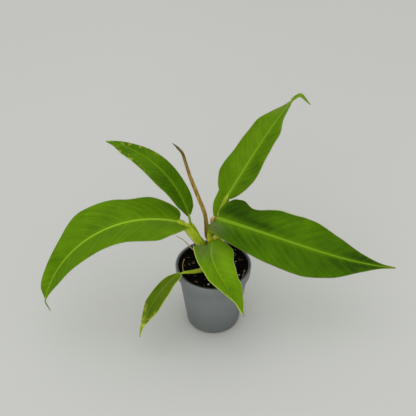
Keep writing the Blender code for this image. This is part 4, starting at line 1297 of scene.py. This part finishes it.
# Route above the stem's top, in millimetres from there
NEW_LEAF_ROUTE = ((0, 0, 0), (-4, 0, 8), (-5, 1, 31), (-8, 2, 52), (-15, 3, 74), (-22.5, 4, 97),
                  (-29, 5, 118), (-35, 6, 141), (-39, 6, 157), (-45.5, 6, 167), (-54, 6, 176))
SPIKE_TAN = (182, 150, 74)
SPIKE_BROWN = (126, 98, 38)
SPIKE_OLIVE = (102, 102, 22)
SPIKE_DARK = (96, 86, 38)
SEAM_TURNS = 1.3
LAP_INSIDE = 0.90  # radius where the outer layer starts, as a share
LAP_STEP = 0.20
SPIKE_AROUND = 32
SPIKE_TIP = 0.1  # the share of its length over which the spike closes


def spike_finish():
    finish, tree, shader = new_finish("rolled leaf skin", 0.5, 0.12)
    share, seam = attribute(tree, "share"), attribute(tree, "seam")
    streaks = surface_noise(tree, 300, 4, stretch=(1, 1, 0.15))
    colour = blended(tree, between(tree, streaks, 0.35, 0.7), paint(SPIKE_BROWN), paint(SPIKE_TAN))
    low = between(tree, share, 0.35, 0.05)
    colour = tinted(tree, colour, low, 0.85, paint(SPIKE_OLIVE))
    high = between(tree, share, 0.55, 0.85)
    colour = tinted(tree, colour, high, 0.75, paint(SPIKE_DARK))
    shadow = between(tree, seam, 0.35, 0.05)
    colour = tinted(tree, colour, shadow, 0.75, paint(SPIKE_BROWN, 0.45))
    feed(tree, colour, shader, "Base Color")
    raised(tree, shader, streaks, 0.2 * MM, 0.6)
    return finish


top = stem_point(STEM_HEIGHT) - Vector((0, 0, 2 * MM))
route = smooth_route([top + Vector(point) * MM for point in NEW_LEAF_ROUTE], 16)


def spike_radius(share):
    return NEW_LEAF_RADIUS + (NEW_LEAF_TIP_RADIUS - NEW_LEAF_RADIUS) * share * share


def spike_reach(share, angle):
    """The outer layer's lap makes the radius step once round."""
    lap = ((angle / (2 * math.pi)) + SEAM_TURNS * share) % 1
    tip = math.sqrt(max(1 - max(share - (1 - SPIKE_TIP), 0) / SPIKE_TIP, 0.03))
    return spike_radius(share) * (LAP_INSIDE + LAP_STEP * lap) * tip


bm = grown_tube(route, Vector((0, -1, 0)), SPIKE_AROUND, spike_reach)
seam_layer = bm.verts.layers.float.new("seam")
share_layer = bm.verts.layers.float["share"]
for vert in bm.verts:
    low = round(vert[share_layer] * (len(route) - 1))
    reach = (vert.co - route[low]).length
    lap = (reach / spike_radius(vert[share_layer]) - LAP_INSIDE) / LAP_STEP
    vert[seam_layer] = min(max(lap, 0), 1)
belongs(placed_piece("new_leaf_roll", bm, spike_finish()), "new_leaf", "new_leaf")

# ---------------------------------------------------------------------------------------------
# Bark chips and perlite: loose bits that the watering can has left on top of the mix. Bark is
# flaky and brown, perlite is white popped glass with open pores.
# ---------------------------------------------------------------------------------------------

# Bearing in degrees, distance in from the wall, length, width and height in millimetres
BARK_CHIPS = ((42, 9, 9, 5, 2.6), (128, 10, 8, 6, 3.4), (231, 11, 7, 4, 2.2))
PERLITE = ((259, 14, 3.2, 2.8, 2.2), (335, 10, 2.8, 2.4, 2.0), (20, 16, 2.4, 2.4, 1.8))
BARK_DARK = (40, 32, 21)
BARK_TAN = (104, 82, 50)
PERLITE_WHITE = (216, 211, 198)
PERLITE_GREY = (158, 150, 134)
BARK_LUMPS = 0.10
PERLITE_LUMPS = 0.16
COARSE_LUMPS = 0.30
COARSE_SPACING = 2.3
FINE_SPACING = 9


def crumb_finish(name, first, second, scale, stretch, depth):
    finish, tree, shader = new_finish(name, 0.9, 0.2)
    layers = surface_noise(tree, scale, 5, stretch=stretch, rough=0.65)
    colour = blended(tree, between(tree, layers, 0.38, 0.64), paint(first), paint(second))
    feed(tree, colour, shader, "Base Color")
    raised(tree, shader, layers, depth, 0.9)
    return finish


def make_crumb(name, size, lumps, finish, slot):
    bearing, inset, length, width, height = size
    bearing = math.radians(bearing)
    radius = top_radius - inset * MM
    x, y = radius * math.cos(bearing), radius * math.sin(bearing)
    bm = bmesh.new()
    bmesh.ops.create_icosphere(bm, subdivisions=5, radius=0.5)
    for vert in bm.verts:
        coarse = COARSE_LUMPS * noise.noise(vert.co * COARSE_SPACING + Vector((inset, bearing, length)))
        fine = lumps * noise.noise(vert.co * FINE_SPACING + Vector((length, inset, 0)))
        vert.co *= 1 + coarse + fine
    scale = Matrix.Diagonal((length * MM, width * MM, height * MM, 1))
    turn = Matrix.Rotation(2.2 * bearing, 4, "Z")
    bmesh.ops.transform(bm, matrix=turn @ scale, verts=bm.verts)
    drop = min(vert.co.z - soil_height(x + vert.co.x, y + vert.co.y) for vert in bm.verts)
    bmesh.ops.translate(bm, verts=bm.verts, vec=(x, y, -drop))
    bmesh.ops.recalc_face_normals(bm, faces=bm.faces)
    crumb = placed_piece(name + "_piece", bm, finish)
    belongs(crumb, slot, name)


bark = crumb_finish("flaky bark", BARK_DARK, BARK_TAN, 420, (1, 0.4, 1.6), 0.6 * MM)
perlite = crumb_finish("popped perlite", PERLITE_GREY, PERLITE_WHITE, 1100, (1, 1, 1), 0.4 * MM)
for k, size in enumerate(BARK_CHIPS):
    make_crumb(f"bark_chip_{k + 1}", size, BARK_LUMPS, bark, "bark")
for k, size in enumerate(PERLITE):
    make_crumb(f"perlite_{k + 1}", size, PERLITE_LUMPS, perlite, "perlite")

# ---------------------------------------------------------------------------------------------
# Studio: a pale seamless floor, an even pale surround and large soft lights from above.
# ---------------------------------------------------------------------------------------------

FLOOR_SIZE = 14
FLOOR_PALE = (196, 197, 193)
SURROUND = (190, 191, 188)
OVERHEAD = (222, 222, 221)
VIEW_ELEVATION = math.radians(38)
VIEW_DISTANCE = 1.354
VIEW_TARGET = Vector((-8.4 * MM, 0, 227 * MM))
LENS = 78.0

floor_finish, tree, shader = new_finish("pale floor", 0.95, 0.05)
wash = surface_noise(tree, 0.6, 2)
tint = blended(tree, between(tree, wash, 0.3, 0.7), paint(FLOOR_PALE), paint(FLOOR_PALE, 0.97))
feed(tree, tint, shader, "Base Color")
bm = bmesh.new()
bmesh.ops.create_grid(bm, x_segments=2, y_segments=2, size=FLOOR_SIZE / 2)
floor = placed_piece("floor", bm, floor_finish)

world = bpy.data.worlds.new("even surround")
world.use_nodes = True
tree = world.node_tree
direction = add_node(tree, "TexCoord", output=0)
height = add_node(tree, "SeparateXYZ", output=2, Vector=direction)
surround = blended(tree, between(tree, height, 0.05, 0.6), paint(SURROUND), paint(OVERHEAD, 1.3))
tree.links.new(surround, tree.nodes["Background"].inputs["Color"])
bpy.context.scene.world = world


def soft_light(name, place, target, size, power):
    lamp = bpy.data.lights.new(name, "AREA")
    lamp.shape = "DISK"
    lamp.size = size
    lamp.energy = power
    made = bpy.data.objects.new(name, lamp)
    made.location = place
    made.rotation_euler = (Vector(target) - Vector(place)).to_track_quat("-Z", "Y").to_euler()
    bpy.context.scene.collection.objects.link(made)


soft_light("overhead softbox", (-0.4, -0.5, 2.6), (0, 0, 0.1), 2.2, 7.5)
soft_light("front softbox", (-0.8, -2.6, 1.6), (0, 0, 0.1), 2.0, 17)

lens = bpy.data.cameras.new("camera")
lens.lens = LENS
lens.sensor_width = 36
camera = bpy.data.objects.new("camera", lens)
camera.location = VIEW_TARGET + VIEW_DISTANCE * Vector((
    0, -math.cos(VIEW_ELEVATION), math.sin(VIEW_ELEVATION)
))
camera.rotation_euler = (math.pi / 2 - VIEW_ELEVATION, 0, 0)
bpy.context.scene.collection.objects.link(camera)
bpy.context.scene.camera = camera
bpy.context.scene.view_settings.view_transform = "Standard"
